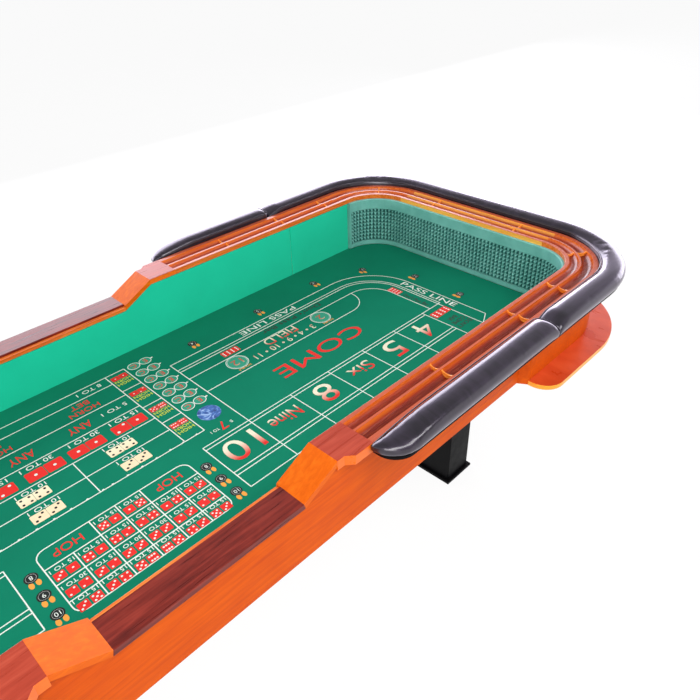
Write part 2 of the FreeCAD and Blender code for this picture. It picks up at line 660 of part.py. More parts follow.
straight_cushions("near", -1, NEAR_LOW_HALF_LENGTH)
straight_cushions("far", 1, FAR_LOW_HALF_LENGTH)
cushion_end_x = CUSHION_JOINT_X + CUSHION_GAP
round_path = [Part.makeLine(V(cushion_end_x, -WALL_HALF_WIDTH, 0), corner_point(-1, -90)),
              corner_arc(-1, -90, 0), END_LINE, corner_arc(1, 0, 90),
              Part.makeLine(corner_point(1, 90), V(cushion_end_x, WALL_HALF_WIDTH, 0))]
end_cushion = follow(round_path, cushion_profile, -90)
save("armrest_cushion_end_right", end_cushion)
save("armrest_cushion_end_left", mirror_x(end_cushion))


# ---------------------------------------------------- armrest boards, brackets
def straight_board(side, low_half):
    inset = CUSHION_OUTER_OFFSET - ARMREST_BOARD_OUTER_OFFSET
    x0 = low_half + SLOPE_RUN + BLOCK_LENGTH - CUSHION_OVERHANG + inset
    top = CUSHION_BOTTOM
    bottom = top - ARMREST_BOARD_THICKNESS
    board = box(x0, CUSHION_JOINT_X - CUSHION_GAP,
                -WALL_HALF_WIDTH - ARMREST_BOARD_OUTER_OFFSET,
                -WALL_HALF_WIDTH - CUSHION_INNER_OFFSET, bottom, top)
    board = rounded_start(board, x0, ARMREST_BOARD_OUTER_OFFSET,
                          CUSHION_END_RADIUS - inset, bottom, top)
    return mirror_y(board) if side > 0 else board


board_near = straight_board(-1, NEAR_LOW_HALF_LENGTH)
board_far = straight_board(1, FAR_LOW_HALF_LENGTH)
board_end = right_of(ring(CUSHION_INNER_OFFSET, ARMREST_BOARD_OUTER_OFFSET,
                          CUSHION_BOTTOM - ARMREST_BOARD_THICKNESS, CUSHION_BOTTOM),
                     cushion_end_x)
boards = [board for right in (board_near, board_far, board_end)
          for board in (right, mirror_x(right))]
save("armrest_boards", Part.makeCompound(boards))


def bracket(face_offset):
    """An angle bracket screwed to an apron, reaching out under the armrest board."""
    top = CUSHION_BOTTOM - ARMREST_BOARD_THICKNESS
    points = [(face_offset, top - BRACKET_DROP), (face_offset, top), (BRACKET_REACH, top),
              (BRACKET_REACH, top - BRACKET_THICKNESS),
              (face_offset + BRACKET_THICKNESS, top - BRACKET_THICKNESS),
              (face_offset + BRACKET_THICKNESS, top - BRACKET_DROP)]
    face = polygon([near_point(offset, z) for offset, z in points])
    solid = face.extrude(V(BRACKET_WIDTH, 0, 0))
    solid.translate(V(-BRACKET_WIDTH / 2, WALL_HALF_WIDTH, 0))
    return solid


side_bracket = bracket(APRON_OFFSET)
end_bracket = bracket(END_APRON_OFFSET)
brackets = []
for side, places in ((-1, NEAR_BRACKET_POSITIONS), (1, FAR_BRACKET_POSITIONS)):
    for x in places:
        right = place_on_wall_line(side_bracket, x, side * WALL_HALF_WIDTH, side * 90)
        brackets += [right, mirror_x(right)]
    right = place_on_wall_line(end_bracket, (MODULE_JOINT_X + CORNER_X) / 2,
                          side * WALL_HALF_WIDTH, side * 90)
    brackets += [right, mirror_x(right)]
    right = place_on_wall_line(end_bracket, WALL_HALF_LENGTH, side * CORNER_Y / 2, 0)
    brackets += [right, mirror_x(right)]
save("armrest_brackets", Part.makeCompound(brackets))
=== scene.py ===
"""Craps table: the looks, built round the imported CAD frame.

Metres, +Z up, in the frame's own axes. Printed layout positions are counted in number boxes:
BOX is the width of one, x counts from the left side of the first box of the right-hand row,
and y from that row's far line.
"""
import math

import bmesh
import bpy
import numpy as np
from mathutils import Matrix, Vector


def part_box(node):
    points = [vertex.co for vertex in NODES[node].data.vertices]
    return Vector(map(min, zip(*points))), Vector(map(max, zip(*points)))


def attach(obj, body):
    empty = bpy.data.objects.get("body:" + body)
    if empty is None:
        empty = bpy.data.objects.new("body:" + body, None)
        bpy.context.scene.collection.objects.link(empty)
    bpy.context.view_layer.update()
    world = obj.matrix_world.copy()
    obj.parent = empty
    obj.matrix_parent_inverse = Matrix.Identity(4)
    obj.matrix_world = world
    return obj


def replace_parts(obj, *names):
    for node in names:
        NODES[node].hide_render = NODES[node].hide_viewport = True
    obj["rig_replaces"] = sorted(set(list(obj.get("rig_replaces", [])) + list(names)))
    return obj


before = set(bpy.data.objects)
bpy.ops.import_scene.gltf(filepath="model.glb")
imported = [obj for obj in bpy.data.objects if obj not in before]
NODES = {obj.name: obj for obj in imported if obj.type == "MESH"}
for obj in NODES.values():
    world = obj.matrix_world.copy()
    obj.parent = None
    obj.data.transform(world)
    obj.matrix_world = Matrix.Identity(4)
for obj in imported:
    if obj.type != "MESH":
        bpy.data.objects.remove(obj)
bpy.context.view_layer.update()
MM = 0.001

# Places read from the frame
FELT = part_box("layout_felt")[1].z
PAD_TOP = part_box("rubber_liner_right")[1].z
WALL_Y = -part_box("wall_pad_near")[1].y
LINER_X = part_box("layout_felt")[1].x
WALL_BACK = -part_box("wall_pad_near")[0].y
LINER_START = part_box("rubber_liner_right")[0].x
MODULE_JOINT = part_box("wall_pad_near")[1].x
RAIL_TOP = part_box("chip_rail_near_right")[1].z
LINER_PROUD = 12 * MM
WALL_X = LINER_X + LINER_PROUD
CORNER_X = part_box("end_module_rail_near_right")[1].x
CORNER_RADIUS = WALL_X - CORNER_X
CORNER_Y = WALL_Y - CORNER_RADIUS

# The printed layout's own units
BOX = 0.162
TABLE_MIDDLE = -1.695
ROW_TO_MIDDLE = 0.60


# ------------------------------------------------------------------ colours
def srgb(text):
    """The linear colour of a six-digit hexadecimal one."""
    parts = [int(text[i:i + 2], 16) / 255 for i in (0, 2, 4)]
    linear = [c / 12.92 if c <= 0.04045 else ((c + 0.055) / 1.055) ** 2.4 for c in parts]
    return (*linear, 1.0)


class Shader:
    """A node material being built. Its methods return the sockets that they make."""

    def __init__(self, name, **sockets):
        self.material = bpy.data.materials.new(name)
        self.material.use_nodes = True
        self.tree = self.material.node_tree
        self.bsdf = self.tree.nodes["Principled BSDF"]
        for socket, value in sockets.items():
            self.put(self.bsdf, socket.replace("_", " "), value)

    def put(self, node, socket, value):
        """Give an input a constant, or link it. Text is a hexadecimal colour."""
        target = node.inputs[socket]
        if isinstance(value, bpy.types.NodeSocket):
            self.tree.links.new(value, target)
        else:
            target.default_value = srgb(value) if isinstance(value, str) else value

    def node(self, kind, **inputs):
        """A new node, its inputs given as constants or links."""
        node = self.tree.nodes.new("ShaderNode" + kind)
        for socket, value in inputs.items():
            self.put(node, socket.replace("_", " "), value)
        return node

    def place(self, scale=(1, 1, 1)):
        where = self.node("TexCoord").outputs["Object"]
        return self.node("Mapping", Vector=where, Scale=scale).outputs["Vector"]

    def axis(self, letter):
        return self.node("SeparateXYZ", Vector=self.place()).outputs[letter]

    def steepness(self):
        """0 on a level face, 1 on an upright one."""
        normal = self.node("NewGeometry").outputs["Normal"]
        level = self.node("SeparateXYZ", Vector=normal).outputs["Z"]
        return self.sum(1.0, self.sum(level, 0.0, "ABSOLUTE"), "SUBTRACT")

    def noise(self, where, scale, detail=4.0, rough=0.55, twist=0.0):
        return self.node("TexNoise", Vector=where, Scale=scale, Detail=detail, Roughness=rough,
                         Distortion=twist).outputs["Fac"]

    def wave(self, where, scale, twist, detail=3.0):
        return self.node("TexWave", Vector=where, Scale=scale, Distortion=twist, Detail=detail,
                         Detail_Scale=1.4).outputs["Fac"]

    def cells(self, where, scale):
        return self.node("TexVoronoi", Vector=where, Scale=scale).outputs["Distance"]

    def ramp(self, factor, *stops):
        """Colours along a factor, as (place, colour) pairs."""
        node = self.tree.nodes.new("ShaderNodeValToRGB")
        elements = node.color_ramp.elements
        while len(elements) < len(stops):
            elements.new(0.5)
        for element, (place, shade) in zip(elements, stops):
            element.position = place
            element.color = srgb(shade)
        self.put(node, "Fac", factor)
        return node.outputs["Color"]

    def span(self, value, low, high, to_low=0.0, to_high=1.0):
        return self.node("MapRange", Value=value, From_Min=low, From_Max=high, To_Min=to_low,
                         To_Max=to_high).outputs["Result"]

    def sum(self, a, b, operation="ADD"):
        node = self.tree.nodes.new("ShaderNodeMath")
        node.operation = operation
        self.put(node, 0, a)
        self.put(node, 1, b)
        return node.outputs[0]

    def mix(self, factor, a, b):
        node = self.tree.nodes.new("ShaderNodeMix")
        node.data_type = "RGBA"
        for socket, value in ((0, factor), (6, a), (7, b)):
            self.put(node, socket, value)
        return node.outputs[2]

    def bump(self, height, strength, depth):
        node = self.node("Bump", Strength=strength, Distance=depth, Height=height)
        self.put(self.bsdf, "Normal", node.outputs["Normal"])

    def finish(self, colour, roughness=None):
        self.put(self.bsdf, "Base Color", colour)
        if roughness is not None:
            self.put(self.bsdf, "Roughness", roughness)
        return self.material


RUBBED_BRIGHTER = 1.9
GRAIN_ALONG = {"X": (3, 46, 46), "Y": (46, 3, 46), "round": (8, 5, 8)}


def wood(name, dark, middle, light, along="X", gloss=0.30, figure=0.35, coat=0.2, edge=None,
         grain=1.0, shine=0.4, pitted=0.3):
    """Varnished wood: fine grain streaks, broad figure and pores along one axis; an edge colour,
    if given, paints the upright faces lighter as painted light.
    """
    s = Shader(name, Coat_Weight=coat, Coat_Roughness=0.14, Specular_IOR_Level=shine)
    streaks = s.noise(s.place(GRAIN_ALONG[along]), 2.2, 6.0, 0.6, 0.4)
    broad = s.noise(s.place((7, 7, 7)), 1.0, 3.0, 0.5, 1.2)
    pores = s.noise(s.place([n * 4 for n in GRAIN_ALONG[along]]), 2.0, 3.0)
    tone = s.sum(s.sum(streaks, s.sum(broad, figure, "MULTIPLY")), -figure / 2)
    body = s.ramp(tone, (0.5 - 0.2 * grain, dark), (0.50, middle), (0.5 + 0.2 * grain, light))
    worn = s.mix(s.span(pores, 0.60, 0.75, 0.0, pitted), body, dark)
    # Upright faces take the edge colour, a lighter orange than the tops: painted light on the
    # sides.
    if edge is not None:
        worn = s.mix(s.span(s.steepness(), 0.3, 0.8), worn, edge)
    s.bump(pores, 0.15 * pitted, 0.4 * MM)
    return s.finish(worn, s.span(streaks, 0.3, 0.7, gloss - 0.05, gloss + 0.08))


def rail_wood(name, along, lit_wall_low, lit_wall_high):
    """Mahogany of the chip rails, with light and shade painted in: dark groove floors are painted
    shade, orange upright walls are painted light, and the red-brown lands are lightened towards
    pink, partly a painted sheen.
    """
    s = Shader(name, Coat_Weight=0.2, Coat_Roughness=0.12, Specular_IOR_Level=0.35)
    streaks = s.noise(s.place(GRAIN_ALONG[along]), 2.4, 6.0, 0.65, 0.5)
    fine = s.noise(s.place([n * 3 for n in GRAIN_ALONG[along]]), 2.0, 4.0)
    # The height ramp paints light and shade: dark at the groove floors (painted shade), bright
    # orange up the groove walls (painted light), pinkish red-brown on the lands (partly a painted
    # sheen).
    height = s.span(s.axis("Z"), RAIL_TOP - 18 * MM, RAIL_TOP)
    painted_light_by_depth = s.ramp(height, (0.0, "6a1a0a"), (0.30, "9a2e10"),
                   (0.75, "c25526"), (0.98, "c05a3c"))
    figured = s.mix(s.span(streaks, 0.38, 0.68, 0.0, 0.45), painted_light_by_depth, "7e2616")
    fibres = s.mix(s.span(fine, 0.5, 0.7, 0.0, 0.2), figured, "cf6a30")
    lip = s.ramp(s.span(streaks, 0.3, 0.7), (0.0, lit_wall_low), (1.0, lit_wall_high))
    # Upright faces take the lighter wall colours: painted light on the groove walls and lips.
    walls = s.mix(s.span(s.steepness(), 0.30, 0.90), fibres, lip)
    s.bump(fine, 0.05, 0.4 * MM)
    return s.finish(walls, s.span(streaks, 0.3, 0.7, 0.20, 0.34))


def felt(name, base, shade, nap):
    """Short-napped wool cloth."""
    s = Shader(name, Sheen_Weight=nap, Sheen_Roughness=0.5, Specular_IOR_Level=0.1)
    threads = s.noise(s.place(), 900.0, 3.0, 0.7)
    mottle = s.noise(s.place(), 6.0, 4.0, 0.6)
    weave = s.sum(s.wave(s.place(), 260.0, 1.5), threads, "MULTIPLY")
    tone = s.mix(s.span(mottle, 0.3, 0.7, 0.0, 0.5), base, shade)
    flecked = s.mix(s.span(threads, 0.55, 0.75, 0.0, 0.35), tone, shade)
    s.bump(weave, 0.12, 0.5 * MM)
    return s.finish(flecked, 0.92)


def leather(name, along):
    """Black coated leather: fine pebble grain and brushed streaks across the cushion."""
    s = Shader(name, Coat_Weight=1.0, Coat_Roughness=0.17, Coat_IOR=1.62, Coat_Tint="e4d6f0",
               Specular_Tint="ded4f2")
    pebble = s.cells(s.place(), 620.0)
    across = (11, 2.2, 2.2) if along == "X" else (2.2, 11, 2.2)
    streaks = s.noise(s.place(across), 5.0, 4.0, 0.5, 0.5)
    folds = s.noise(s.place(across), 1.6, 3.0, 0.5, 0.6)
    tone = s.mix(s.span(streaks, 0.35, 0.7), "0b090b", "221d22")
    height = s.sum(s.sum(pebble, 0.12, "MULTIPLY"), s.sum(streaks, folds))
    s.bump(height, 0.10, 2.0 * MM)
    return s.finish(tone, s.span(streaks, 0.35, 0.7, 0.28, 0.46))


def metal(name, shade, gloss, metallic):
    """Steel, painted or plated, with rubbed patches."""
    s = Shader(name, Metallic=metallic, Specular_IOR_Level=0.06 + 0.44 * metallic)
    rub = s.noise(s.place(), 30.0, 5.0, 0.65)
    orange_peel = s.noise(s.place(), 400.0, 2.0)
    tone = s.mix(s.span(rub, 0.4, 0.75, 0.0, 0.4), shade,
                 [c * RUBBED_BRIGHTER for c in srgb(shade)[:3]] + [1.0])
    s.bump(orange_peel, 0.08, 0.3 * MM)
    return s.finish(tone, s.span(rub, 0.3, 0.7, gloss - 0.06, gloss + 0.10))


def rubber(name, shade, pale):
    """Grey-green moulded rubber, paler where it is rubbed."""
    s = Shader(name, Specular_IOR_Level=0.35)
    mottle = s.noise(s.place(), 14.0, 4.0)
    skin = s.noise(s.place(), 500.0, 2.0)
    tone = s.mix(s.span(mottle, 0.35, 0.7, 0.0, 0.8), shade, pale)
    s.bump(skin, 0.15, 0.4 * MM)
    return s.finish(tone, s.span(mottle, 0.3, 0.7, 0.42, 0.55))


def ink(name, shade, fade_to=None, low=0.0, high=1.0):
    """Printing ink on cloth, plain or fading across the table between two y places."""
    s = Shader(name, Sheen_Weight=0.1, Specular_IOR_Level=0.2)
    threads = s.noise(s.place(), 700.0, 3.0, 0.7)
    body = shade
    if fade_to is not None:
        body = s.ramp(s.span(s.axis("Y"), low, high), (0.15, shade), (0.75, fade_to))
    worn = s.mix(s.span(threads, 0.55, 0.8, 0.0, 0.25), body, "5d7f6c")
    s.bump(threads, 0.10, 0.3 * MM)
    return s.finish(worn, 0.8)


def glazed(name):
    """A blue marbled disc, printed."""
    s = Shader(name)
    clouds = s.noise(s.place(), 34.0, 5.0, 0.6, 1.6)
    return s.finish(s.ramp(clouds, (0.35, "12306e"), (0.52, "2f62b0"),
                           (0.66, "a9c6ea")), 0.6)


APRON = {"dark": "bc4002", "middle": "d05204", "light": "e06208", "gloss": 0.5, "coat": 0.0,
         "grain": 1.6, "shine": 0.1, "pitted": 0.1}
MATERIALS = {
    "rail_x": rail_wood("rail_mahogany_x", "X", "d05a18", "ea7c2c"),
    # The end rails' upright colours are brighter than the side rails': painted light from the key
    # falling on their walls.
    "rail_y": rail_wood("rail_mahogany_y", "Y", "f59a30", "ffc45c"),
    "cap": wood("cap_mahogany", "4c0f0a", "701c10", "8a2a1a", coat=0.12, shine=0.3),
    # The block's lighter edge colour on its upright faces is painted light.
    "block": wood("block_mahogany", "922e1c", "aa3c26", "bc4c32", figure=0.2,
                  coat=0.10, edge="ee6c10", grain=1.5, shine=0.3),
    "trim": wood("trim_mahogany", "c04e18", "de6a1c", "f08630"),
    "apron_x": wood("apron_veneer_x", **APRON),
    "apron_y": wood("apron_veneer_y", along="Y", **APRON),
    "slope": wood("slope_veneer", "cc5204", "da6006", "ea7610", gloss=0.4,
                  coat=0.0, grain=1.6, shine=0.12, pitted=0.1),
    # The shelf's yellow-orange edge colour on its upright faces is painted light.
    "shelf": wood("shelf_wood", "c23e1a", "d04a20", "da562a", along="round",
                  edge="f9a21c", grain=1.2, coat=0.3, figure=0.6, pitted=0.0),
    "divider": wood("divider_wood", "e0701a", "f58c2a", "ffa848", along="Y"),
    "ply": wood("structural_ply", "94744a", "b8955f", "cfae7a", gloss=0.5,
                coat=0.0),
    "leather_x": leather("cushion_leather_sides", "X"),
    "leather_y": leather("cushion_leather_ends", "Y"),
    "layout": felt("layout_felt", "0a7a5e", "086c53", 0.0),
    "wall_felt": felt("wall_felt", "18c8a2", "14ba96", 0.1),
    "rubber": rubber("liner_rubber", "66a9a0", "7ebfb6"),
    # A darker copy of the liner rubber: painted shade for the pyramids' lower and sideways
    # facets.
    "rubber_painted_shade": rubber("liner_rubber_painted_shade", "2c6560", "3b7b74"),
    "foam": metal("underlay_foam", "2a2a2a", 0.8, 0.0),
    "black": metal("black_steel", "08080a", 0.42, 0.0),
    "black_board": metal("black_board", "0c0a0c", 0.5, 0.0),
    "zinc": metal("zinc_steel", "5c5e62", 0.48, 1.0),
    "pale_ink": ink("ink_pale_green", "2b9478"),
    "globe_ink": glazed("ink_blue_marble"),
}

for shade_name, shade in (("white", "dfe3dc"), ("red", "e0201a"), ("dark", "33262a"),
                          ("black", "141416"), ("yellow", "c9d23a"), ("orange", "ef9a3c")):
    MATERIALS[shade_name + "_ink"] = ink("ink_" + shade_name, shade)

NODE_LOOKS = [
    ("chip_rail_dividers", "divider"), ("chip_rail", "rail_x"), ("end_module_rail", "rail_x"),
    ("corner_rail", "rail_x"), ("end_rail", "rail_y"), ("rail_block", "block"),
    ("low_cap", "cap"), ("low_trim", "trim"), ("slope_caps", "slope"),
    ("apron_near", "apron_x"), ("apron_far", "apron_x"), ("apron", "apron_y"),
    ("drink_shelf", "shelf"), ("armrest_cushion", "leather_x"), ("armrest_boards", "black_board"),
    ("armrest_brackets", "zinc"), ("pedestal_bolts", "zinc"), ("pedestal", "black"),
    ("base_plates", "black"), ("deck", "ply"), ("frame_beams", "ply"), ("cross_beams", "ply"),
    ("wall_board", "ply"), ("wall_pad", "wall_felt"), ("end_wall_pads", "wall_felt"),
    ("rubber_liner", "rubber"), ("layout_felt", "layout"), ("table_underlay", "foam")]
SOFTENED = ("rail_block", "low_cap", "slope_caps", "apron", "drink_shelf", "pedestal_column",
            "base_plates", "low_trim")


EASED_EDGE = 1.2 * MM
SHARP_DEGREES = 38


def dress_nodes():
    """Give every CAD node its material, and ease the sharp edges of the boards."""
    for name, node in NODES.items():
        look = next(look for start, look in NODE_LOOKS if name.startswith(start))
        node.data.materials.clear()
        node.data.materials.append(MATERIALS[look])
        if name.startswith(SOFTENED):
            weld = node.modifiers.new("weld", "WELD")
            weld.merge_threshold = 0.01 * MM
            bevel = node.modifiers.new("eased_edges", "BEVEL")
            bevel.width = EASED_EDGE
            bevel.segments = 2
            bevel.limit_method = "ANGLE"
            bevel.angle_limit = math.radians(SHARP_DEGREES)


# ------------------------------------------------------------ mesh helpers
def new_object(name, data):
    thing = bpy.data.objects.new(name, data)
    bpy.context.scene.collection.objects.link(thing)
    return thing


def points_of(mesh):
    return np.array([v.co for v in mesh.vertices])


def evaluated_mesh(piece):
    """A new mesh of the piece as its modifiers leave it."""
    graph = bpy.context.evaluated_depsgraph_get()
    return bpy.data.meshes.new_from_object(piece.evaluated_get(graph))


def lofted_faces(rings, n):
    """Faces of a closed solid through rings of n points each."""
    faces = [(i * n + k, (i + 1) * n + k, (i + 1) * n + (k + 1) % n, i * n + (k + 1) % n)
             for i in range(rings - 1) for k in range(n)]
    last = (rings - 1) * n
    return faces + [tuple(range(n)), tuple(range(last + n - 1, last - 1, -1))]


def add_piece(name, verts, faces, look, smooth=False):
    """A new mesh object that rides on the table."""
    mesh = bpy.data.meshes.new(name)
    mesh.from_pydata([tuple(v) for v in verts], [], faces)
    mesh.update()
    tidy = bmesh.new()
    tidy.from_mesh(mesh)
    bmesh.ops.recalc_face_normals(tidy, faces=tidy.faces)
    tidy.to_mesh(mesh)
    tidy.free()
    for polygon in mesh.polygons:
        polygon.use_smooth = smooth
    mesh.materials.append(MATERIALS[look])
    piece = new_object(name, mesh)
    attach(piece, "root")
    return piece


class Sheets:
    """Thin flat solids gathered into one mesh, such as the parts of a print."""

    def __init__(self):
        self.verts = []
        self.faces = []

    def prism(self, outline, bottom, top):
        """A flat solid with a convex outline."""
        count, start = len(outline), len(self.verts)
        for z in (bottom, top):
            self.verts += [(x, y, z) for x, y in outline]
        lower = range(start, start + count)
        upper = range(start + count, start + 2 * count)
        self.faces += [tuple(reversed(lower)), tuple(upper)]
        for i in range(count):
            j = (i + 1) % count
            self.faces.append((lower[i], lower[j], upper[j], upper[i]))

    def ribbon(self, points, width, bottom, top, closed=False):
        """A flat strip of even width along a line of points."""
        path = [np.array(p, float) for p in points]
        count, start = len(path), len(self.verts)
        for i, here in enumerate(path):
            before = path[i - 1] if closed or i else here
            after = path[(i + 1) % count] if closed or i < count - 1 else here
            into = here - before if np.any(here != before) else after - here
            out = after - here if np.any(after != here) else here - before
            into, out = into / np.linalg.norm(into), out / np.linalg.norm(out)
            side = np.array([-(into + out)[1], (into + out)[0]])
            side /= np.linalg.norm(side)
            reach = width / 2 / max(0.35, abs(side @ np.array([-out[1], out[0]])))
            for sign, z in ((1, bottom), (1, top), (-1, top), (-1, bottom)):
                self.verts.append((*(here + sign * reach * side), z))
        for i in range(count if closed else count - 1):
            a, b = start + 4 * i, start + 4 * ((i + 1) % count)
            for k in range(4):
                n = (k + 1) % 4
                self.faces.append((a + k, a + n, b + n, b + k))
        if not closed:
            last = start + 4 * (count - 1)
            self.faces += [tuple(range(start, start + 4)), tuple(range(last + 3, last - 1, -1))]

    def piece(self, name, look, slot="layout_felt"):
        return add_piece(name, self.verts, self.faces, look)


def arc(centre, radius, start, end, count=12, squash=1.0):
    """Points round a circle or ellipse, in degrees."""
    return [(centre[0] + radius * math.cos(math.radians(a)),
             centre[1] + squash * radius * math.sin(math.radians(a)))
            for a in np.linspace(start, end, count)]


def round_end_place(travel, start_x):
    """Where the wall line of the right end is, after some travel from its near side."""
    lengths = (CORNER_X - start_x, CORNER_RADIUS * math.pi / 2, 2 * CORNER_Y,
               CORNER_RADIUS * math.pi / 2, CORNER_X - start_x)
    part = 0
    while part < 4 and travel > lengths[part]:
        travel -= lengths[part]
        part += 1
    turn = travel / CORNER_RADIUS
    if part == 0:
        return (start_x + travel, -WALL_Y), (0.0, -1.0)
    if part == 1:
        out = (math.sin(turn), -math.cos(turn))
        return (CORNER_X + CORNER_RADIUS * out[0], -CORNER_Y + CORNER_RADIUS * out[1]), out
    if part == 2:
        return (WALL_X, -CORNER_Y + travel), (1.0, 0.0)
    if part == 3:
        out = (math.cos(turn), math.sin(turn))
        return (CORNER_X + CORNER_RADIUS * out[0], CORNER_Y + CORNER_RADIUS * out[1]), out
    return (CORNER_X - travel, WALL_Y), (0.0, 1.0)


def round_end_length(start_x):
    return 2 * (CORNER_X - start_x) + math.pi * CORNER_RADIUS + 2 * CORNER_Y


def mirrored(piece, name, node=None):
    """A copy of a piece on the other half of the table."""
    copy = piece.copy()
    copy.data = piece.data.copy()
    copy.name = name
    bpy.context.scene.collection.objects.link(copy)
    for vertex in copy.data.vertices:
        vertex.co.x = -vertex.co.x
    copy.data.flip_normals()
    if node:
        copy["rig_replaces"] = []
        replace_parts(copy, node)
    return copy


# --------------------------------------------------------------- the print
LINE = 3.0 * MM
HALF_TURN = 180
TO_END = -90
INK_TOPS = {"x": 0.30 * MM, "y": 0.34 * MM, "arc": 0.38 * MM}
PLATE_ROOT = FELT - 0.2 * MM
LINE_ROOT = FELT - 0.3 * MM
FILL_TOP = FELT + 0.22 * MM
PLATE_TOP = FELT + 0.40 * MM


def on_felt(x, y, side=1):
    """A place on the layout, in metres; side -1 is the mirrored half."""
    return side * (x - TABLE_MIDDLE) * BOX, (y - ROW_TO_MIDDLE) * BOX


def half_name(side):
    return "right" if side > 0 else "left"


def rule(sheets, points, side=1, closed=False, width=LINE):
    """One printed line through layout points."""
    path = [on_felt(x, y, side) for x, y in points]
    if len(points) > 2:
        kind = "arc"
    else:
        kind = "x" if abs(path[0][1] - path[1][1]) < 1e-6 else "y"
    sheets.ribbon(path, width, LINE_ROOT, FELT + INK_TOPS[kind], closed)


PASS_CENTRE = (5.62, 1.18)
BOX_COUNT = 6
ROW_BOTTOM = -1.298
LAYOUT_LEFT = 1.0
END_BOTTOM = -1.22


def pass_curve(radius, end_y, reach=None):
    """A line along the far side, round the corner and down the end, reach out from its centre."""
    reach = reach or radius
    corner = arc(PASS_CENTRE, reach, 90, 0, 15, radius / reach)
    return [(LAYOUT_LEFT, PASS_CENTRE[1] + radius), *corner, (PASS_CENTRE[0] + reach, end_y)]


def print_betting_lines(side):
    sheets = Sheets()
    right = PASS_CENTRE[0]
    for radius, end_y, reach in ((0.66, 0.0, 0.66), (0.98, END_BOTTOM, 0.96),
                                 (1.065, 0.0, 1.03)):
        rule(sheets, pass_curve(radius, end_y, reach), side)
    outer = pass_curve(1.325, -1.05)
    rule(sheets, [*outer, (right + 0.96, END_BOTTOM - 0.02)], side)
    rule(sheets, [(LAYOUT_LEFT, PASS_CENTRE[1] + 1.325), (LAYOUT_LEFT, 0.0)], side)
    field = [(LAYOUT_LEFT, 1.25), *arc((5.05, 1.80), 0.55, -90, 4, 10)]
    rule(sheets, field, side)
    rule(sheets, [(0, 0), (right + 1.03, 0)], side)
    for y in (-0.086, -0.852, -0.941, ROW_BOTTOM):
        rule(sheets, [(0, y), (BOX_COUNT, y)], side)
    for x in range(BOX_COUNT + 1):
        rule(sheets, [(x, 0), (x, ROW_BOTTOM)], side)
    return sheets.piece(f"print_bet_lines_{half_name(side)}", "white_ink")


def print_text(name, text, x, y, height, look, angle=HALF_TURN, side=1, width=None, top=0.42):
    """Printed lettering centred on a layout point, with capitals of that height."""
    if side < 0 and angle == TO_END:
        angle = -TO_END
    curve = bpy.data.curves.new(name, "FONT")
    curve.body = text
    curve.align_x = "CENTER"
    curve.align_y = "CENTER"
    curve.extrude = top * MM
    curve.resolution_u = 5
    holder = new_object(name + "_curve", curve)
    bpy.context.view_layer.update()
    mesh = bpy.data.meshes.new_from_object(holder)
    bpy.data.objects.remove(holder)
    co = points_of(mesh)
    low, high = co.min(0), co.max(0)
    tall = height * BOX / (high[1] - low[1])
    wide = tall if width is None else width * BOX / (high[0] - low[0])
    flat = (co[:, :2] - (low + high)[:2] / 2) * (wide, tall)
    a = math.radians(angle)
    px, py = on_felt(x, y, side)
    placed = np.stack([px + flat[:, 0] * math.cos(a) - flat[:, 1] * math.sin(a),
                       py + flat[:, 0] * math.sin(a) + flat[:, 1] * math.cos(a),
                       FELT + co[:, 2]], 1)
    faces = [tuple(p.vertices) for p in mesh.polygons]
    bpy.data.meshes.remove(mesh)
    return add_piece(name, placed, faces, look)


HORN_ROWS = (2.93, 2.24, 1.55, 0.87)
PIPS = {1: [(0, 0)], 2: [(-1, -1), (1, 1)], 3: [(-1, -1), (0, 0), (1, 1)],
        4: [(-1, -1), (1, -1), (-1, 1), (1, 1)],
        5: [(-1, -1), (1, -1), (-1, 1), (1, 1), (0, 0)],
        6: [(-1, -1), (0, -1), (1, -1), (-1, 1), (0, 1), (1, 1)]}


def print_die(plates, pips, x, y, wide, tall, value, side=1, along_end=False):
    """One printed die: a plate with its pips."""
    cx, cy = on_felt(x, y, side)
    half_x, half_y = wide * BOX / 2, tall * BOX / 2
    cut = 0.14 * min(half_x, half_y)
    outline = []
    for sx, sy, order in ((1, -1, 0), (1, 1, 1), (-1, 1, 0), (-1, -1, 1)):
        first = (cx + sx * (half_x - cut), cy + sy * half_y)
        second = (cx + sx * half_x, cy + sy * (half_y - cut))
        outline += [first, second] if order == 0 else [second, first]
    plates.prism(outline, PLATE_ROOT, PLATE_TOP)
    dot = 0.22 * min(half_x, half_y)
    for px, py in PIPS[value]:
        if along_end:
            px, py = py, px
        centre = (cx + px * half_x * 0.52, cy + py * half_y * 0.55)
        pips.prism(arc(centre, dot, 0, 315, 8), PLATE_ROOT, FELT + 0.48 * MM)


def print_pair(plates, pips, x, y, step, wide, tall, pair, side):
    """Two dice side by side, the first at x."""
    for k, value in enumerate(pair):
        print_die(plates, pips, x + step * k, y, wide, tall, value, side)


def print_dice(side, where):
    """All the red dice of one half, and their white pips."""
    plates, pips = Sheets(), Sheets()
    for y, pair in zip(HORN_ROWS, ((1, 1), (1, 2), (5, 6), (6, 6))):
        print_pair(plates, pips, 0.015, y, 0.17, 0.16, 0.14, pair, side)
    for x, pair in ((-0.675, (2, 1)), (-1.485, (1, 1))):
        print_pair(plates, pips, x, 1.515, 0.325, 0.31, 0.26, pair, side)
    for x, y, pair in HOP_CELLS:
        print_pair(plates, pips, x - 0.095, y, 0.19, 0.16, 0.155, pair, side)
    for k in range(2):
        print_die(plates, pips, 2.035 + 0.21 * k, 2.01, 0.205, 0.18, 6, side, True)
        print_die(plates, pips, 6.185 + 0.28 * k, -0.27, 0.27, 0.22, 6, side, True)
        print_die(plates, pips, 6.385, 1.05 + 0.17 * k, 0.19, 0.165, 6, side)
    plates.piece(f"print_red_dice_{where}", "red_ink")
    pips.piece(f"print_dice_pips_{where}", "white_ink")


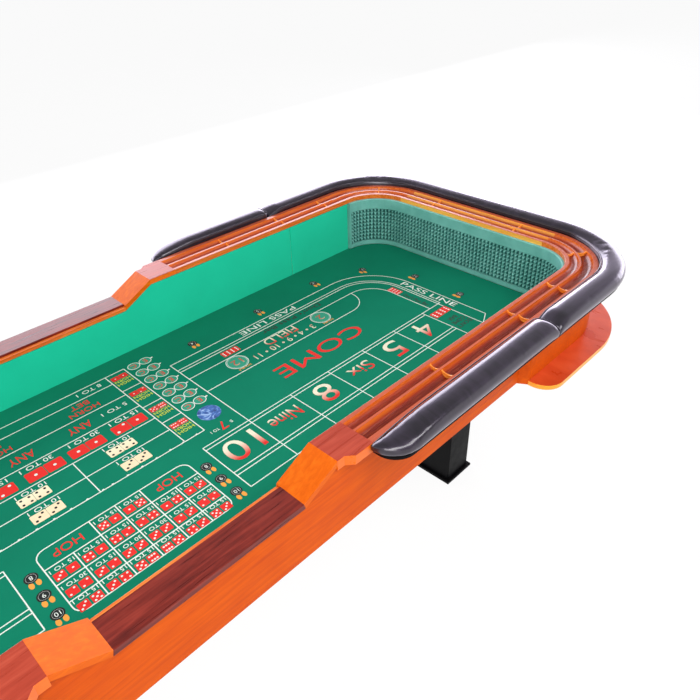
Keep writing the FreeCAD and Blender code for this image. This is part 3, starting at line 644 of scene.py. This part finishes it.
HOP_RIGHT = -0.40
HOP_STEP = 0.432
HOP_ROWS = (-0.235, -0.60, -0.965, -1.285)
HOP_CELLS = [(HOP_RIGHT - HOP_STEP * (column + 0.5), HOP_ROWS[row] - 0.055, pair)
             for column, row, pair in (
                 (2, 0, (1, 5)), (0, 1, (1, 3)), (1, 1, (1, 4)), (2, 1, (2, 4)),
                 (0, 2, (2, 2)), (1, 2, (2, 3)), (2, 2, (3, 3)),
                 (0, 3, (5, 3)), (1, 3, (4, 3)), (2, 3, (6, 5)))]


def print_centre_lines():
    """The proposition bets in the middle, drawn across both halves."""
    sheets = Sheets()
    for side in (1, -1):
        for x in (-0.106, 0.303):
            rule(sheets, [(x, 3.12), (x, 0.374)], side)
        for y in (2.456, 1.735, 1.09):
            rule(sheets, [(-0.106, y), (0.303, y)], side)
        for y in (3.12, 0.374):
            rule(sheets, [(TABLE_MIDDLE, y), (0.303, y)], side)
        for y in (2.82, 2.33, 1.84, 1.313, 0.844):
            rule(sheets, [(TABLE_MIDDLE, y), (-0.106, y)], side)
        hop = [(TABLE_MIDDLE, -0.05), *arc((-0.56, -0.21), 0.16, 90, 0, 6),
               *arc((-0.56, -1.26), 0.16, 0, -90, 6), (TABLE_MIDDLE, -1.42)]
        rule(sheets, hop, side)
        for y in (-0.42, -0.78, -1.15):
            rule(sheets, [(TABLE_MIDDLE, y), (HOP_RIGHT, y)], side)
        for column in (1, 2):
            x = HOP_RIGHT - HOP_STEP * column
            top = -0.42 if column == 1 else -0.05
            rule(sheets, [(x, top), (x, -1.42)], side)
        for k in range(7):
            x = TABLE_MIDDLE + 0.22 + 0.27 * k - (0.27 if side < 0 else 0)
            rule(sheets, [(x, 0.40), (x, 0.374)], side, width=6 * MM)
    for top, bottom in ((1.313, 0.374), (-0.05, -1.42)):
        rule(sheets, [(TABLE_MIDDLE, top), (TABLE_MIDDLE, bottom)])
    return sheets.piece("print_centre_lines", "white_ink")


def print_ovals(side, where):
    """The chain of paired ovals beside the middle bets, each with its letter."""
    rings, fills, letters = Sheets(), Sheets(), []
    for k in range(7):
        y = 3.05 - 0.317 * k
        for x, letter in ((0.495, "C"), (0.755, "E")):
            centre = on_felt(x, y, side)
            fills.prism(arc(centre, 0.125 * BOX, 0, 345, 24, 0.92), PLATE_ROOT,
                        FILL_TOP)
            rings.ribbon(arc(centre, 0.122 * BOX, 0, 345, 24, 0.92), 2.4 * MM,
                         LINE_ROOT, FELT + 0.30 * MM, True)
            letters.append((letter, x, y))
        rule(rings, [(0.885, y), (0.93, y + 0.012)], side, width=5 * MM)
    rings.piece(f"print_oval_rings_{where}", "white_ink")
    fills.piece(f"print_oval_fills_{where}", "pale_ink")
    for k, (letter, x, y) in enumerate(letters):
        print_text(f"print_oval_{letter}_{k}_{where}", letter, x, y, 0.12, "red_ink", side=side)


def print_discs(side, where):
    """Numbered black point discs, each with two orange tails."""
    discs, rims, tails = Sheets(), Sheets(), Sheets()
    places = [(-0.22, -0.40, "8", 0), (-0.22, -0.80, "9", 0), (-0.22, -1.20, "10", 0),
              (1.78, 2.86, "4", 0), (3.57, 2.86, "5", 0), (5.35, 2.88, "6", 0),
              (6.68, 2.47, "7", -40), (7.29, 1.25, "11", -90), (7.29, -0.10, "12", -90)]
    for x, y, number, lean in places:
        centre = on_felt(x, y, side)
        discs.prism(arc(centre, 0.098 * BOX, 0, 345, 24), PLATE_ROOT, PLATE_TOP)
        rims.ribbon(arc(centre, 0.072 * BOX, 0, 340, 18), 0.4 * MM, FELT, FELT + 0.46 * MM, True)
        turn = math.radians(lean * side)
        for shift in (-0.05, 0.05):
            dx, dy = shift * BOX, -0.135 * BOX
            drop = (centre[0] + dx * math.cos(turn) - dy * math.sin(turn),
                    centre[1] + dx * math.sin(turn) + dy * math.cos(turn))
            tails.prism(arc(drop, 0.036 * BOX, 0, 330, 12, 1.7), PLATE_ROOT,
                        FELT + 0.36 * MM)
        print_text(f"print_disc_number_{number}_{where}", number, x, y, 0.075, "white_ink",
                   side=side, angle=HALF_TURN if lean > -90 else TO_END, top=0.52)
    discs.piece(f"print_discs_{where}", "black_ink")
    rims.piece(f"print_disc_rims_{where}", "white_ink")
    tails.piece(f"print_disc_tails_{where}", "orange_ink")


NUMBER_NAMES = ("10", "Nine", "8", "Six", "5", "4")


def print_half(side):
    """Everything printed on one half of the layout."""
    where = half_name(side)
    print_betting_lines(side)
    names = NUMBER_NAMES if side > 0 else NUMBER_NAMES[::-1]
    for k, name in enumerate(names):
        numeral = name.isdigit()
        middle = -0.45 if numeral else -0.42
        width = {"10": 0.70, "Nine": 0.66, "Six": 0.58}.get(name, 0.40)
        height = 0.54 if numeral else 0.31
        print_text(f"print_number_{name.lower()}_{where}", name, k + 0.52, middle, height,
                   "number_ink" if numeral else "name_ink", side=side, width=width)
    text = [("come", "COME", 3.45, 0.65, 0.40, "red_ink", 2.33),
            ("field", "FIELD", 3.25, 1.70, 0.24, "field_ink", 0.86),
            ("field_numbers", "3 • 4 • 9 • 10 • 11", 3.18, 1.45, 0.17,
             "field_number_ink", 1.66),
            ("pass_line", "PASS LINE", 3.48, 2.375, 0.145, "white_ink", 1.56),
            ("dont_pass", "Don't Pass Bar", 3.90, 2.04, 0.13, "dark_ink", 1.70),
            ("circle_12", "12", 2.0, 1.60, 0.19, "field_number_ink", 0.24),
            ("circle_2", "2", 4.35, 1.60, 0.19, "field_number_ink", 0.15),
            ("double", "DOUBLE", 2.0, 1.345, 0.05, "orange_ink", 0.30),
            ("double_2", "DOUBLE", 4.35, 1.345, 0.05, "orange_ink", 0.30),
            ("dont_come", "DON'T\nCOME\nBAR", 6.30, -0.78, 0.44, "dark_ink", 0.46),
            ("seven", "7", 0.60, 0.24, 0.22, "red_ink", 0.15),
            ("seven_odds_1", "5", 0.78, 0.22, 0.07, "white_ink", 0.05),
            ("seven_odds_2", "TO 1", 0.42, 0.22, 0.07, "white_ink", 0.17)]
    if side < 0:
        swap = {"circle_12": "2", "circle_2": "12"}
        text = [(n, swap.get(n, t), x, y, h, look, w) for n, t, x, y, h, look, w in text]
    for name, words, x, y, height, look, width in text:
        print_text(f"print_{name}_{where}", words, x, y, height, look, side=side, width=width)
    print_text(f"print_pass_line_end_{where}", "PASS LINE", 6.80, 0.46, 0.16, "white_ink",
               TO_END, side, 1.60)
    print_text(f"print_dont_pass_end_{where}", "Don't Pass Bar", 6.40, 0.50, 0.12, "dark_ink",
               TO_END, side, 0.72)
    circles, rims = Sheets(), Sheets()
    for x in (2.0, 4.35):
        centre = on_felt(x, 1.60, side)
        circles.prism(arc(centre, 0.22 * BOX, 0, 350, 36), PLATE_ROOT, FILL_TOP)
        for radius, width in ((0.23, 2.2 * MM), (0.205, 1.0 * MM)):
            rims.ribbon(arc(centre, radius * BOX, 0, 350, 36), width, LINE_ROOT,
                        FELT + 0.34 * MM, True)
    circles.piece(f"print_field_circles_{where}", "pale_ink")
    rims.piece(f"print_field_circle_rims_{where}", "white_ink")
    globe = Sheets()
    globe.prism(arc(on_felt(0.65, 0.71, side), 0.22 * BOX, 0, 352, 45), PLATE_ROOT,
                PLATE_TOP)
    globe.piece(f"print_marble_disc_{where}", "globe_ink")
    print_dice(side, where)
    print_ovals(side, where)
    print_discs(side, where)
    print_props(side, where)


def print_props(side, where):
    """Words and cream dice of the middle bets on one half."""
    words = [("8 TO 1", -0.52, 2.98, 0.10, "white_ink", 0.50),
             ("BET", -0.87, 2.675, 0.13, "red_ink", 0.36),
             ("HORN", -0.87, 2.47, 0.13, "red_ink", 0.58),
             ("5 TO 1", -0.48, 2.10, 0.10, "white_ink", 0.50),
             ("ANY", -1.17, 2.08, 0.20, "red_ink", 0.44),
             ("15 TO 1", -0.50, 1.745, 0.10, "white_ink", 0.56),
             ("30 TO 1", -1.27, 1.745, 0.10, "white_ink", 0.56),
             ("10 TO 1", -0.94, 1.225, 0.09, "white_ink", 0.50),
             ("10 TO 1", -0.94, 0.755, 0.09, "white_ink", 0.50),
             ("HOP", -0.84, -0.235, 0.16, "red_ink", 0.46)]
    for y in HORN_ROWS:
        words += [("HORN", 0.10, y - 0.13, 0.08, "yellow_ink", 0.32),
                  ("HIGH", 0.10, y - 0.24, 0.08, "yellow_ink", 0.32)]
    for x, y, pair in HOP_CELLS:
        odds = "30 TO 1" if pair[0] == pair[1] else "15 TO 1"
        words.append((odds, x, y + 0.145, 0.07, "white_ink", 0.36))
    for k, (text, x, y, height, look, width) in enumerate(words):
        print_text(f"print_prop_{k:02d}_{where}", text, x, y, height, look, side=side,
                   width=width)
    plates, pips = Sheets(), Sheets()
    for y, value in ((1.055, 4), (0.585, 3)):
        for x in (-1.055, -0.80):
            print_die(plates, pips, x, y, 0.25, 0.215, value, side)
    plates.piece(f"print_cream_dice_{where}", "cream_ink")
    pips.piece(f"print_cream_dice_pips_{where}", "black_ink")


def fading_ink(name, low, high, shade, fade_to):
    """An ink that fades between two layout y places."""
    MATERIALS[name] = ink("ink_" + name, shade, fade_to, on_felt(0, low)[1], on_felt(0, high)[1])


def print_layout():
    red, cream = "d8201a", "e4dcc4"
    fading_ink("number_ink", -0.74, -0.20, red, cream)
    fading_ink("name_ink", -0.46, -0.22, red, cream)
    fading_ink("field_ink", 1.56, 1.80, red, cream)
    fading_ink("field_number_ink", 1.36, 1.66, cream, "b8543c")
    fading_ink("cream_ink", 0.90, 1.14, "f2d9b4", "efe3c2")
    for side in (1, -1):
        print_half(side)
    print_centre_lines()


# ------------------------------------------------------------ rubber liner
PYRAMID_ROWS = 9
PYRAMID_COLUMNS = 70
BAND_BELOW = 20 * MM
BAND_ABOVE = 44 * MM
PYRAMID_DEPTH = 9.0 * MM
TIP_SHARE = 0.18


def liner(name, node):
    """Moulded liner round the right end: plain bands with rows of pyramids between; the lower and
    sideways facets of each pyramid take a darker rubber, painted shade.
    """
    length = round_end_length(LINER_START)
    face, root = -LINER_PROUD, -LINER_PROUD + PYRAMID_DEPTH
    verts, faces, shaded = [], [], set()

    def vert(travel, offset, z):
        (x, y), out = round_end_place(travel, LINER_START)
        verts.append((x + out[0] * offset, y + out[1] * offset, z))
        return len(verts) - 1

    margin = 10 * MM
    low, high = FELT + BAND_BELOW, PAD_TOP - BAND_ABOVE
    pitch = (length - 2 * margin) / PYRAMID_COLUMNS
    rise = (high - low) / PYRAMID_ROWS
    travels = [margin + pitch * i for i in range(PYRAMID_COLUMNS + 1)]
    heights = [low + rise * j for j in range(PYRAMID_ROWS + 1)]
    valley = [[vert(t, root, z) for z in heights] for t in travels]
    for i in range(PYRAMID_COLUMNS):
        for j in range(PYRAMID_ROWS):
            t, z = travels[i] + pitch / 2, heights[j] + rise / 2
            tip = [vert(t + a * pitch * TIP_SHARE, face, z + b * rise * TIP_SHARE)
                   for a, b in ((-1, -1), (1, -1), (1, 1), (-1, 1))]
            base = [valley[i][j], valley[i + 1][j], valley[i + 1][j + 1], valley[i][j + 1]]
            for k in range(4):
                n = (k + 1) % 4
                # The lower and two sideways facets get the darker rubber as painted shade; the
                # upward facet and the tip keep the lit rubber.
                if k != 2:
                    shaded.add(len(faces))
                faces.append((base[k], base[n], tip[n], tip[k]))
            faces.append(tuple(tip))

    stops = [0.0, *travels, length]
    back = WALL_BACK - WALL_Y - 0.3 * MM
    bottom = FELT + 0.2 * MM
    profile_low = [(back, bottom), (face + 1.5 * MM, bottom), (face, bottom + 2 * MM),
                   (face, low - 1 * MM)]
    profile_high = [(face, high + 1 * MM), (face, PAD_TOP - 3 * MM),
                    (face + 1.6 * MM, PAD_TOP - 1 * MM), (face + 4 * MM, PAD_TOP - 0.2 * MM),
                    (back, PAD_TOP - 0.2 * MM)]
    lower = [[vert(t, d, z) for d, z in profile_low] for t in stops]
    upper = [[vert(t, d, z) for d, z in profile_high] for t in stops]
    last = len(stops) - 1
    for i in range(last):
        for strip in (lower, upper):
            for k in range(len(strip[0]) - 1):
                faces.append((strip[i][k], strip[i + 1][k], strip[i + 1][k + 1], strip[i][k + 1]))
        faces.append((upper[i][-1], upper[i + 1][-1], lower[i + 1][0], lower[i][0]))
    for i in range(PYRAMID_COLUMNS):
        faces.append((lower[i + 1][-1], lower[i + 2][-1], valley[i + 1][0], valley[i][0]))
        faces.append((valley[i][-1], valley[i + 1][-1], upper[i + 2][0], upper[i + 1][0]))
    for i, end, line in ((0, 1, valley[0]), (last, last - 1, valley[-1])):
        faces.append((lower[i][-1], lower[end][-1], upper[end][0], upper[i][0]))
        faces.append((lower[end][-1], *line, upper[end][0]))
        faces.append((*lower[i], *upper[i]))
    piece = add_piece(name, verts, faces, "rubber")
    # The second material is the darker rubber: painted shade on the shaded facets.
    piece.data.materials.append(MATERIALS["rubber_painted_shade"])
    for polygon in piece.data.polygons:
        polygon.material_index = int(polygon.index in shaded)
    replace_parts(piece, node)
    return piece


# ------------------------------------------------------- padded wall panels
PANEL_TURN = 5 * MM
PANEL_GAP = 0.3 * MM


def wall_panel(name, x0, x1, side, top_at, node=None):
    """A felt-covered pad: a slightly crowned panel whose edges turn back to the wall."""
    thick = WALL_BACK - WALL_Y - 0.4 * MM
    turn = PANEL_TURN
    bottom = FELT - 2 * MM
    columns = sorted({*np.linspace(x0, x1, max(8, int((x1 - x0) / 0.02))),
                      *[x0 + turn * t for t in (0, 0.15, 0.4, 0.7, 1)],
                      *[x1 - turn * t for t in (0, 0.15, 0.4, 0.7, 1)]})
    shares = [0.0, 0.01, 0.03, *np.linspace(0.06, 0.94, 12), 0.97, 0.985, 0.995, 1.0]
    verts, faces, rows = [], [], len(shares)
    for x in columns:
        top = top_at(x) - 0.4 * MM
        for share in shares:
            z = bottom + share * (top - bottom)
            edge = min(x - x0, x1 - x, top - z)
            drop = 1 - min(1.0, edge / turn)
            depth = thick * (1 - math.sqrt(max(0.0, 1 - drop ** 2)))
            wander = 0.35 * MM * (1 + math.sin(31 * x + 9 * z) * math.sin(17 * z + 4 * x))
            y = WALL_Y + 0.2 * MM + min(thick - 0.3 * MM, depth + wander)
            verts.append((x, side * y, z))
    count = len(verts)
    verts += [(x, side * (WALL_Y + thick), z) for x, _, z in verts[:count]]
    for i in range(len(columns) - 1):
        for j in range(rows - 1):
            a = i * rows + j
            quad = (a, a + rows, a + rows + 1, a + 1)
            faces += [quad, tuple(count + v for v in reversed(quad))]
    rim = [i * rows for i in range(len(columns))]
    rim += [(len(columns) - 1) * rows + j for j in range(1, rows)]
    rim += [i * rows + rows - 1 for i in range(len(columns) - 2, -1, -1)]
    rim += [j for j in range(rows - 2, 0, -1)]
    for k, a in enumerate(rim):
        b = rim[(k + 1) % len(rim)]
        faces.append((a, b, count + b, count + a))
    piece = add_piece(name, verts, faces, "wall_felt", smooth=True)
    if node:
        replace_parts(piece, node)
    return piece


def low_outline(side_name):
    """The pad's top edge over a long side, which dips under the low section."""
    low_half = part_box(f"low_trim_{side_name}")[1].x
    low_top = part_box(f"low_trim_{side_name}")[0].z
    slope_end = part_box(f"slope_caps_{side_name}")[1].x

    def top_at(x):
        share = (abs(x) - low_half + 4 * MM) / (slope_end - low_half + 4 * MM)
        return low_top + (PAD_TOP - low_top) * min(1.0, max(0.0, share))

    return top_at


def wall_panels():
    for side_name, side in (("near", -1), ("far", 1)):
        wall_panel(f"wall_pad_{side_name}_cover", -MODULE_JOINT + PANEL_GAP,
                   MODULE_JOINT - PANEL_GAP, side, low_outline(side_name),
                   f"wall_pad_{side_name}")
    first = None
    for side_name, side in (("near", -1), ("far", 1)):
        for end_name, end in (("left", -1), ("right", 1)):
            x0, x1 = sorted((end * (MODULE_JOINT + PANEL_GAP), end * (LINER_START - PANEL_GAP)))
            cover = wall_panel(f"end_wall_pad_{side_name}_{end_name}_cover", x0, x1, side,
                               lambda x: PAD_TOP)
            first = first or cover
    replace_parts(first, "end_wall_pads")


# --------------------------------------------------------- armrest cushions
PAD_LOW, PAD_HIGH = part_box("armrest_cushion_near_right")
PAD_INNER = -PAD_HIGH.y - WALL_Y
PAD_OUTER = -PAD_LOW.y - WALL_Y
PAD_BOTTOM = PAD_LOW.z
PAD_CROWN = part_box("armrest_cushion_end_right")[1].z
END_RADIUS = 84 * MM
START_SHARE = 0.5
START_RUN = 190 * MM
VOXEL = 5 * MM
PUFF_PRESSURE = 4.0
PUFF_STEPS = 20
PUFF_CAP = 2.6 * MM
PAD_STEP = 12 * MM
PIPING = 1.7 * MM
STITCH = 1.1 * MM
WELT_STEP = 9 * MM
WELT_TUCK = 2.5 * MM
SEAM_TUCK = 0.6 * MM
SHOULDER_DROP = 10 * MM


def pad_section(inset):
    """Section of an armrest from its inner foot round over the top: (offset, height) pairs."""
    inner, outer = PAD_INNER + inset, PAD_OUTER - inset
    crown = PAD_CROWN - inset
    width = outer - inner
    shoulder = crown - SHOULDER_DROP
    top = [(inner + width * t, crown - drop * MM)
           for t, drop in ((0.05, 7.6), (0.13, 4.6), (0.23, 2.1), (0.35, 0.5), (0.48, 0.0),
                           (0.62, 1.2), (0.76, 3.8), (0.88, 8.6), (0.96, 16.0))]
    foot = PAD_BOTTOM + inset * 0.3
    return [(inner, foot), (inner - 0.5 * MM, foot + 14 * MM), (inner + 0.6 * MM, foot + 27 * MM),
            (inner, shoulder - 3 * MM), (inner + 1.5 * MM, shoulder), *top,
            (outer, PAD_BOTTOM + 22 * MM), (outer - 0.8 * MM, PAD_BOTTOM + 10 * MM),
            (outer - 4 * MM, foot)]


def pad_mesh(name, stations, squeeze, look):
    """A closed mesh through sections. squeeze(i) gives the width and height shares there."""
    section = pad_section(1.6 * MM)
    verts = []
    for i, ((x, y), out) in enumerate(stations):
        wide, tall, dip = squeeze(i)
        for offset, z in section:
            d = PAD_INNER + (offset - PAD_INNER) * wide
            share = (offset - PAD_INNER) / (PAD_OUTER - PAD_INNER)
            lowered = 1 - dip * (1 - 0.75 * share)
            height = PAD_BOTTOM + (z - PAD_BOTTOM) * tall * lowered
            verts.append((x + out[0] * d, y + out[1] * d, height))
    faces = lofted_faces(len(stations), len(section))
    return add_piece(name, verts, faces, look, smooth=True)


def puff(piece, cap):
    """Inflate a cushion as pressed cloth, then keep every point within cap of where it was."""
    remesh = piece.modifiers.new("voxels", "REMESH")
    remesh.mode = "VOXEL"
    remesh.voxel_size = VOXEL
    mesh = evaluated_mesh(piece)
    piece.modifiers.clear()
    piece.data = mesh
    before = points_of(mesh)
    cloth = piece.modifiers.new("cloth", "CLOTH")
    cloth.settings.use_pressure = True
    cloth.settings.uniform_pressure_force = PUFF_PRESSURE
    cloth.settings.effector_weights.gravity = 0.0
    cloth.settings.quality = 4
    cloth.settings.tension_stiffness = 20.0
    cloth.point_cache.frame_start, cloth.point_cache.frame_end = 1, PUFF_STEPS
    scene = bpy.context.scene
    for step in range(1, PUFF_STEPS + 1):
        scene.frame_set(step)
    move = points_of(evaluated_mesh(piece)) - before
    reach = np.linalg.norm(move, axis=1)
    move *= np.minimum(1.0, cap / np.maximum(reach, 1e-9))[:, None]
    placed = before + move
    placed[:, 2] = np.clip(placed[:, 2], PAD_BOTTOM, PAD_CROWN + 2 * MM)
    piece.modifiers.clear()
    scene.frame_set(1)
    mesh.vertices.foreach_set("co", placed.ravel())
    mesh.update()


def dress_pad(piece, node, look):
    puff(piece, PUFF_CAP)
    piece.data.materials.clear()
    piece.data.materials.append(MATERIALS[look])
    for polygon in piece.data.polygons:
        polygon.use_smooth = True
    relax = piece.modifiers.new("relax", "SMOOTH")
    relax.factor = 0.5
    relax.iterations = 3
    finer = piece.modifiers.new("finer", "SUBSURF")
    finer.levels = finer.render_levels = 1
    piece.data = evaluated_mesh(piece)
    piece.modifiers.clear()
    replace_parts(piece, node)


def tube(name, path, radius, look):
    """A closed round tube through points, with flat ends."""
    sides = 8
    verts = []
    points = [Vector(p) for p in path]
    for i, point in enumerate(points):
        ahead = points[min(i + 1, len(points) - 1)] - points[max(i - 1, 0)]
        ahead.normalize()
        across = ahead.cross(Vector((0, 0, 1)))
        if across.length < 1e-4:
            across = Vector((1, 0, 0))
        across.normalize()
        over = across.cross(ahead)
        for k in range(sides):
            a = 2 * math.pi * k / sides
            verts.append(point + across * radius * math.cos(a) + over * radius * math.sin(a))
    return add_piece(name, verts, lofted_faces(len(points), sides), look, smooth=True)


def cushion_line(part, place, path, radius=PIPING):
    """A welt or seam on the right half, and its mirror image."""
    line = tube(f"armrest_{part}_{place}_right", path, radius, "leather_x")
    mirrored(line, f"armrest_{part}_{place}_left")


def even_places(x0, x1):
    count = max(2, round((x1 - x0) / PAD_STEP))
    return [x0 + (x1 - x0) * i / count for i in range(count + 1)]


def end_squeeze(travel, length, rounded_start):
    """Width and height shares of a cushion at some travel from its first end."""
    ends = min(travel, length - travel)
    lift = min(1.0, ends / (14 * MM))
    tall = 0.72 + 0.28 * math.sqrt(1 - (1 - lift) ** 2)
    wide = 1.0
    if rounded_start and travel < END_RADIUS:
        narrow = END_RADIUS - math.sqrt(END_RADIUS ** 2 - (END_RADIUS - travel) ** 2)
        wide = max(0.08, 1 - narrow / (PAD_OUTER - PAD_INNER))
    if rounded_start and travel < START_RUN:
        tall *= 1 - (1 - START_SHARE) * (1 - travel / START_RUN) ** 1.6
    return wide, tall


def side_cushion(side_name, side):
    low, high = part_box(f"armrest_cushion_{side_name}_right")
    places = [low.x + t * MM for t in (0, 1.5, 4, 8, 14, 22, 32, 44, 58)]
    places += even_places(low.x + END_RADIUS, high.x - 16 * MM)
    places += [high.x - t * MM for t in (9, 4, 1.5, 0)]
    stations = [((x, side * WALL_Y), (0.0, float(side))) for x in places]
    length = high.x - low.x

    def squeeze(i):
        wide, tall = end_squeeze(stations[i][0][0] - low.x, length, True)
        return wide, tall, 0.0

    name = f"armrest_pad_{side_name}_right"
    pad = pad_mesh(name, stations, squeeze, "leather_x")
    dress_pad(pad, f"armrest_cushion_{side_name}_right", "leather_x")
    other = mirrored(pad, f"armrest_pad_{side_name}_left", f"armrest_cushion_{side_name}_left")
    run = []
    for travel in np.arange(4 * MM, length - 3 * MM, WELT_STEP):
        tall = end_squeeze(travel, length, True)[1]
        run.append((low.x + travel, side * (WALL_Y + PAD_INNER + WELT_TUCK),
                    PAD_BOTTOM + tall * (PAD_CROWN - PAD_BOTTOM - SHOULDER_DROP)))
    cushion_line("welt", side_name, run)
    lip = [(high.x - 3 * MM, side * (WALL_Y + offset), PAD_BOTTOM + 0.93 * (z - PAD_BOTTOM))
           for offset, z in pad_section(1.0 * MM)[4:14]]
    cushion_line("seam_welt", side_name, lip)
    stitch = [(x, side * (WALL_Y + PAD_INNER + SEAM_TUCK),
               PAD_BOTTOM + 0.62 * (height - PAD_BOTTOM)) for x, _, height in run[1:]]
    cushion_line("side_seam", side_name, stitch, STITCH)


PINCH_RUN = 60 * MM
PINCH = 0.60


def seam_dip(travel, length):
    """How far the end cushion is pinched down near the seams."""
    ends = min(travel, length - travel)
    return PINCH * max(0.0, 1 - ends / PINCH_RUN) ** 1.4


def end_cushion():
    start_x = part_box("armrest_cushion_end_right")[0].x
    length = round_end_length(start_x)
    travels = [0, 1.5 * MM, 4 * MM, 9 * MM]
    travels += list(np.arange(16 * MM, length - 16 * MM, PAD_STEP))
    travels += [length - 9 * MM, length - 4 * MM, length - 1.5 * MM, length]
    stations = [round_end_place(t, start_x) for t in travels]

    def squeeze(i):
        wide, tall = end_squeeze(travels[i], length, False)
        return wide, tall, seam_dip(travels[i], length)

    pad = pad_mesh("armrest_pad_end_right", stations, squeeze, "leather_y")
    dress_pad(pad, "armrest_cushion_end_right", "leather_y")
    other = mirrored(pad, "armrest_pad_end_left", "armrest_cushion_end_left")
    for part, offset, height, radius in (("welt", WELT_TUCK, PAD_CROWN - SHOULDER_DROP, PIPING),
                                         ("side_seam", SEAM_TUCK, PAD_BOTTOM + 27 * MM, STITCH)):
        run = []
        for travel in np.arange(6 * MM, length - 5 * MM, WELT_STEP):
            (x, y), out = round_end_place(travel, start_x)
            dip = seam_dip(travel, length)
            d = PAD_INNER + offset
            run.append((x + out[0] * d, y + out[1] * d,
                        PAD_BOTTOM + (height - PAD_BOTTOM) * (1 - dip)))
        cushion_line(part, "end", run, radius)


# ----------------------------------------------------------------- studio
FLOOR_REACH = 40.0


def area_light(name, place, aim, size, power, shade=(1, 1, 1)):
    data = bpy.data.lights.new(name, "AREA")
    data.shape = "RECTANGLE"
    data.size, data.size_y = size
    data.energy = power
    data.color = shade
    lamp = new_object(name, data)
    lamp.visible_camera = False
    lamp.location = place
    lamp.rotation_euler = (Vector(aim) - Vector(place)).to_track_quat("-Z", "Y").to_euler()


def sky():
    """A soft white studio: bright around the horizon, dimmer overhead."""
    world = bpy.data.worlds.new("studio")
    world.use_nodes = True
    tree = world.node_tree
    where = tree.nodes.new("ShaderNodeTexCoord")
    split = tree.nodes.new("ShaderNodeSeparateXYZ")
    ramp = tree.nodes.new("ShaderNodeValToRGB")
    elements = ramp.color_ramp.elements
    stops = ((0.0, 1.0), (0.20, 1.0), (0.42, 0.42), (1.0, 0.38))
    while len(elements) < len(stops):
        elements.new(0.5)
    for element, (place, level) in zip(elements, stops):
        element.position = place
        element.color = (level, level, level, 1.0)
    background = tree.nodes["Background"]
    tree.links.new(where.outputs["Generated"], split.inputs[0])
    tree.links.new(split.outputs["Z"], ramp.inputs["Fac"])
    tree.links.new(ramp.outputs["Color"], background.inputs["Color"])
    bpy.context.scene.world = world


def studio():
    sky()
    bpy.context.scene.view_settings.view_transform = "Standard"
    area_light("key", (-2.8, -2.6, 3.6), (0.6, 0.0, 0.7), (2.4, 2.4), 85, (1.0, 0.98, 0.95))
    area_light("front", (0.3, -2.6, 4.2), (0.6, 0.5, 0.8), (5.0, 1.2), 120, (1.0, 0.99, 0.97))
    area_light("backdrop", (4.5, 4.8, 2.45), (4.5, 0.0, 2.45), (12.0, 4.3), 700,
               (0.92, 0.89, 1.0))
    area_light("side", (7.5, 0.6, 1.7), (0.0, 0.6, 1.7), (7.0, 2.8), 240, (0.92, 0.89, 1.0))
    mesh = bpy.data.meshes.new("floor")
    reach = FLOOR_REACH
    mesh.from_pydata([(-reach, -reach, 0), (reach, -reach, 0), (reach, reach, 0),
                      (-reach, reach, 0)], [], [(0, 1, 2, 3)])
    pale = Shader("floor", Emission_Strength=0.92, Emission_Color="ffffff",
                  Specular_IOR_Level=0.0)
    speckle = pale.noise(pale.place(), 3.0)
    mesh.materials.append(pale.finish(pale.mix(speckle, "4a4a4a", "505050"), 0.9))
    ground = new_object("floor", mesh)
    ground.location.z = -0.2 * MM


def camera():
    """The view over the near left corner, towards the right end."""
    data = bpy.data.cameras.new("camera")
    data.lens = 33.35
    data.sensor_width = 36.0
    eye = new_object("camera", data)
    eye.location = (-0.390, -1.327, 1.936)
    pitch, roll, heading = 55.81, 1.12, -46.34
    eye.rotation_euler = [math.radians(a) for a in (pitch, roll, heading)]
    bpy.context.scene.camera = eye


dress_nodes()
print_layout()
liner_right = liner("rubber_liner_mould_right", "rubber_liner_right")
mirrored(liner_right, "rubber_liner_mould_left", "rubber_liner_left")
wall_panels()
side_cushion("near", -1)
side_cushion("far", 1)
end_cushion()
studio()
camera()
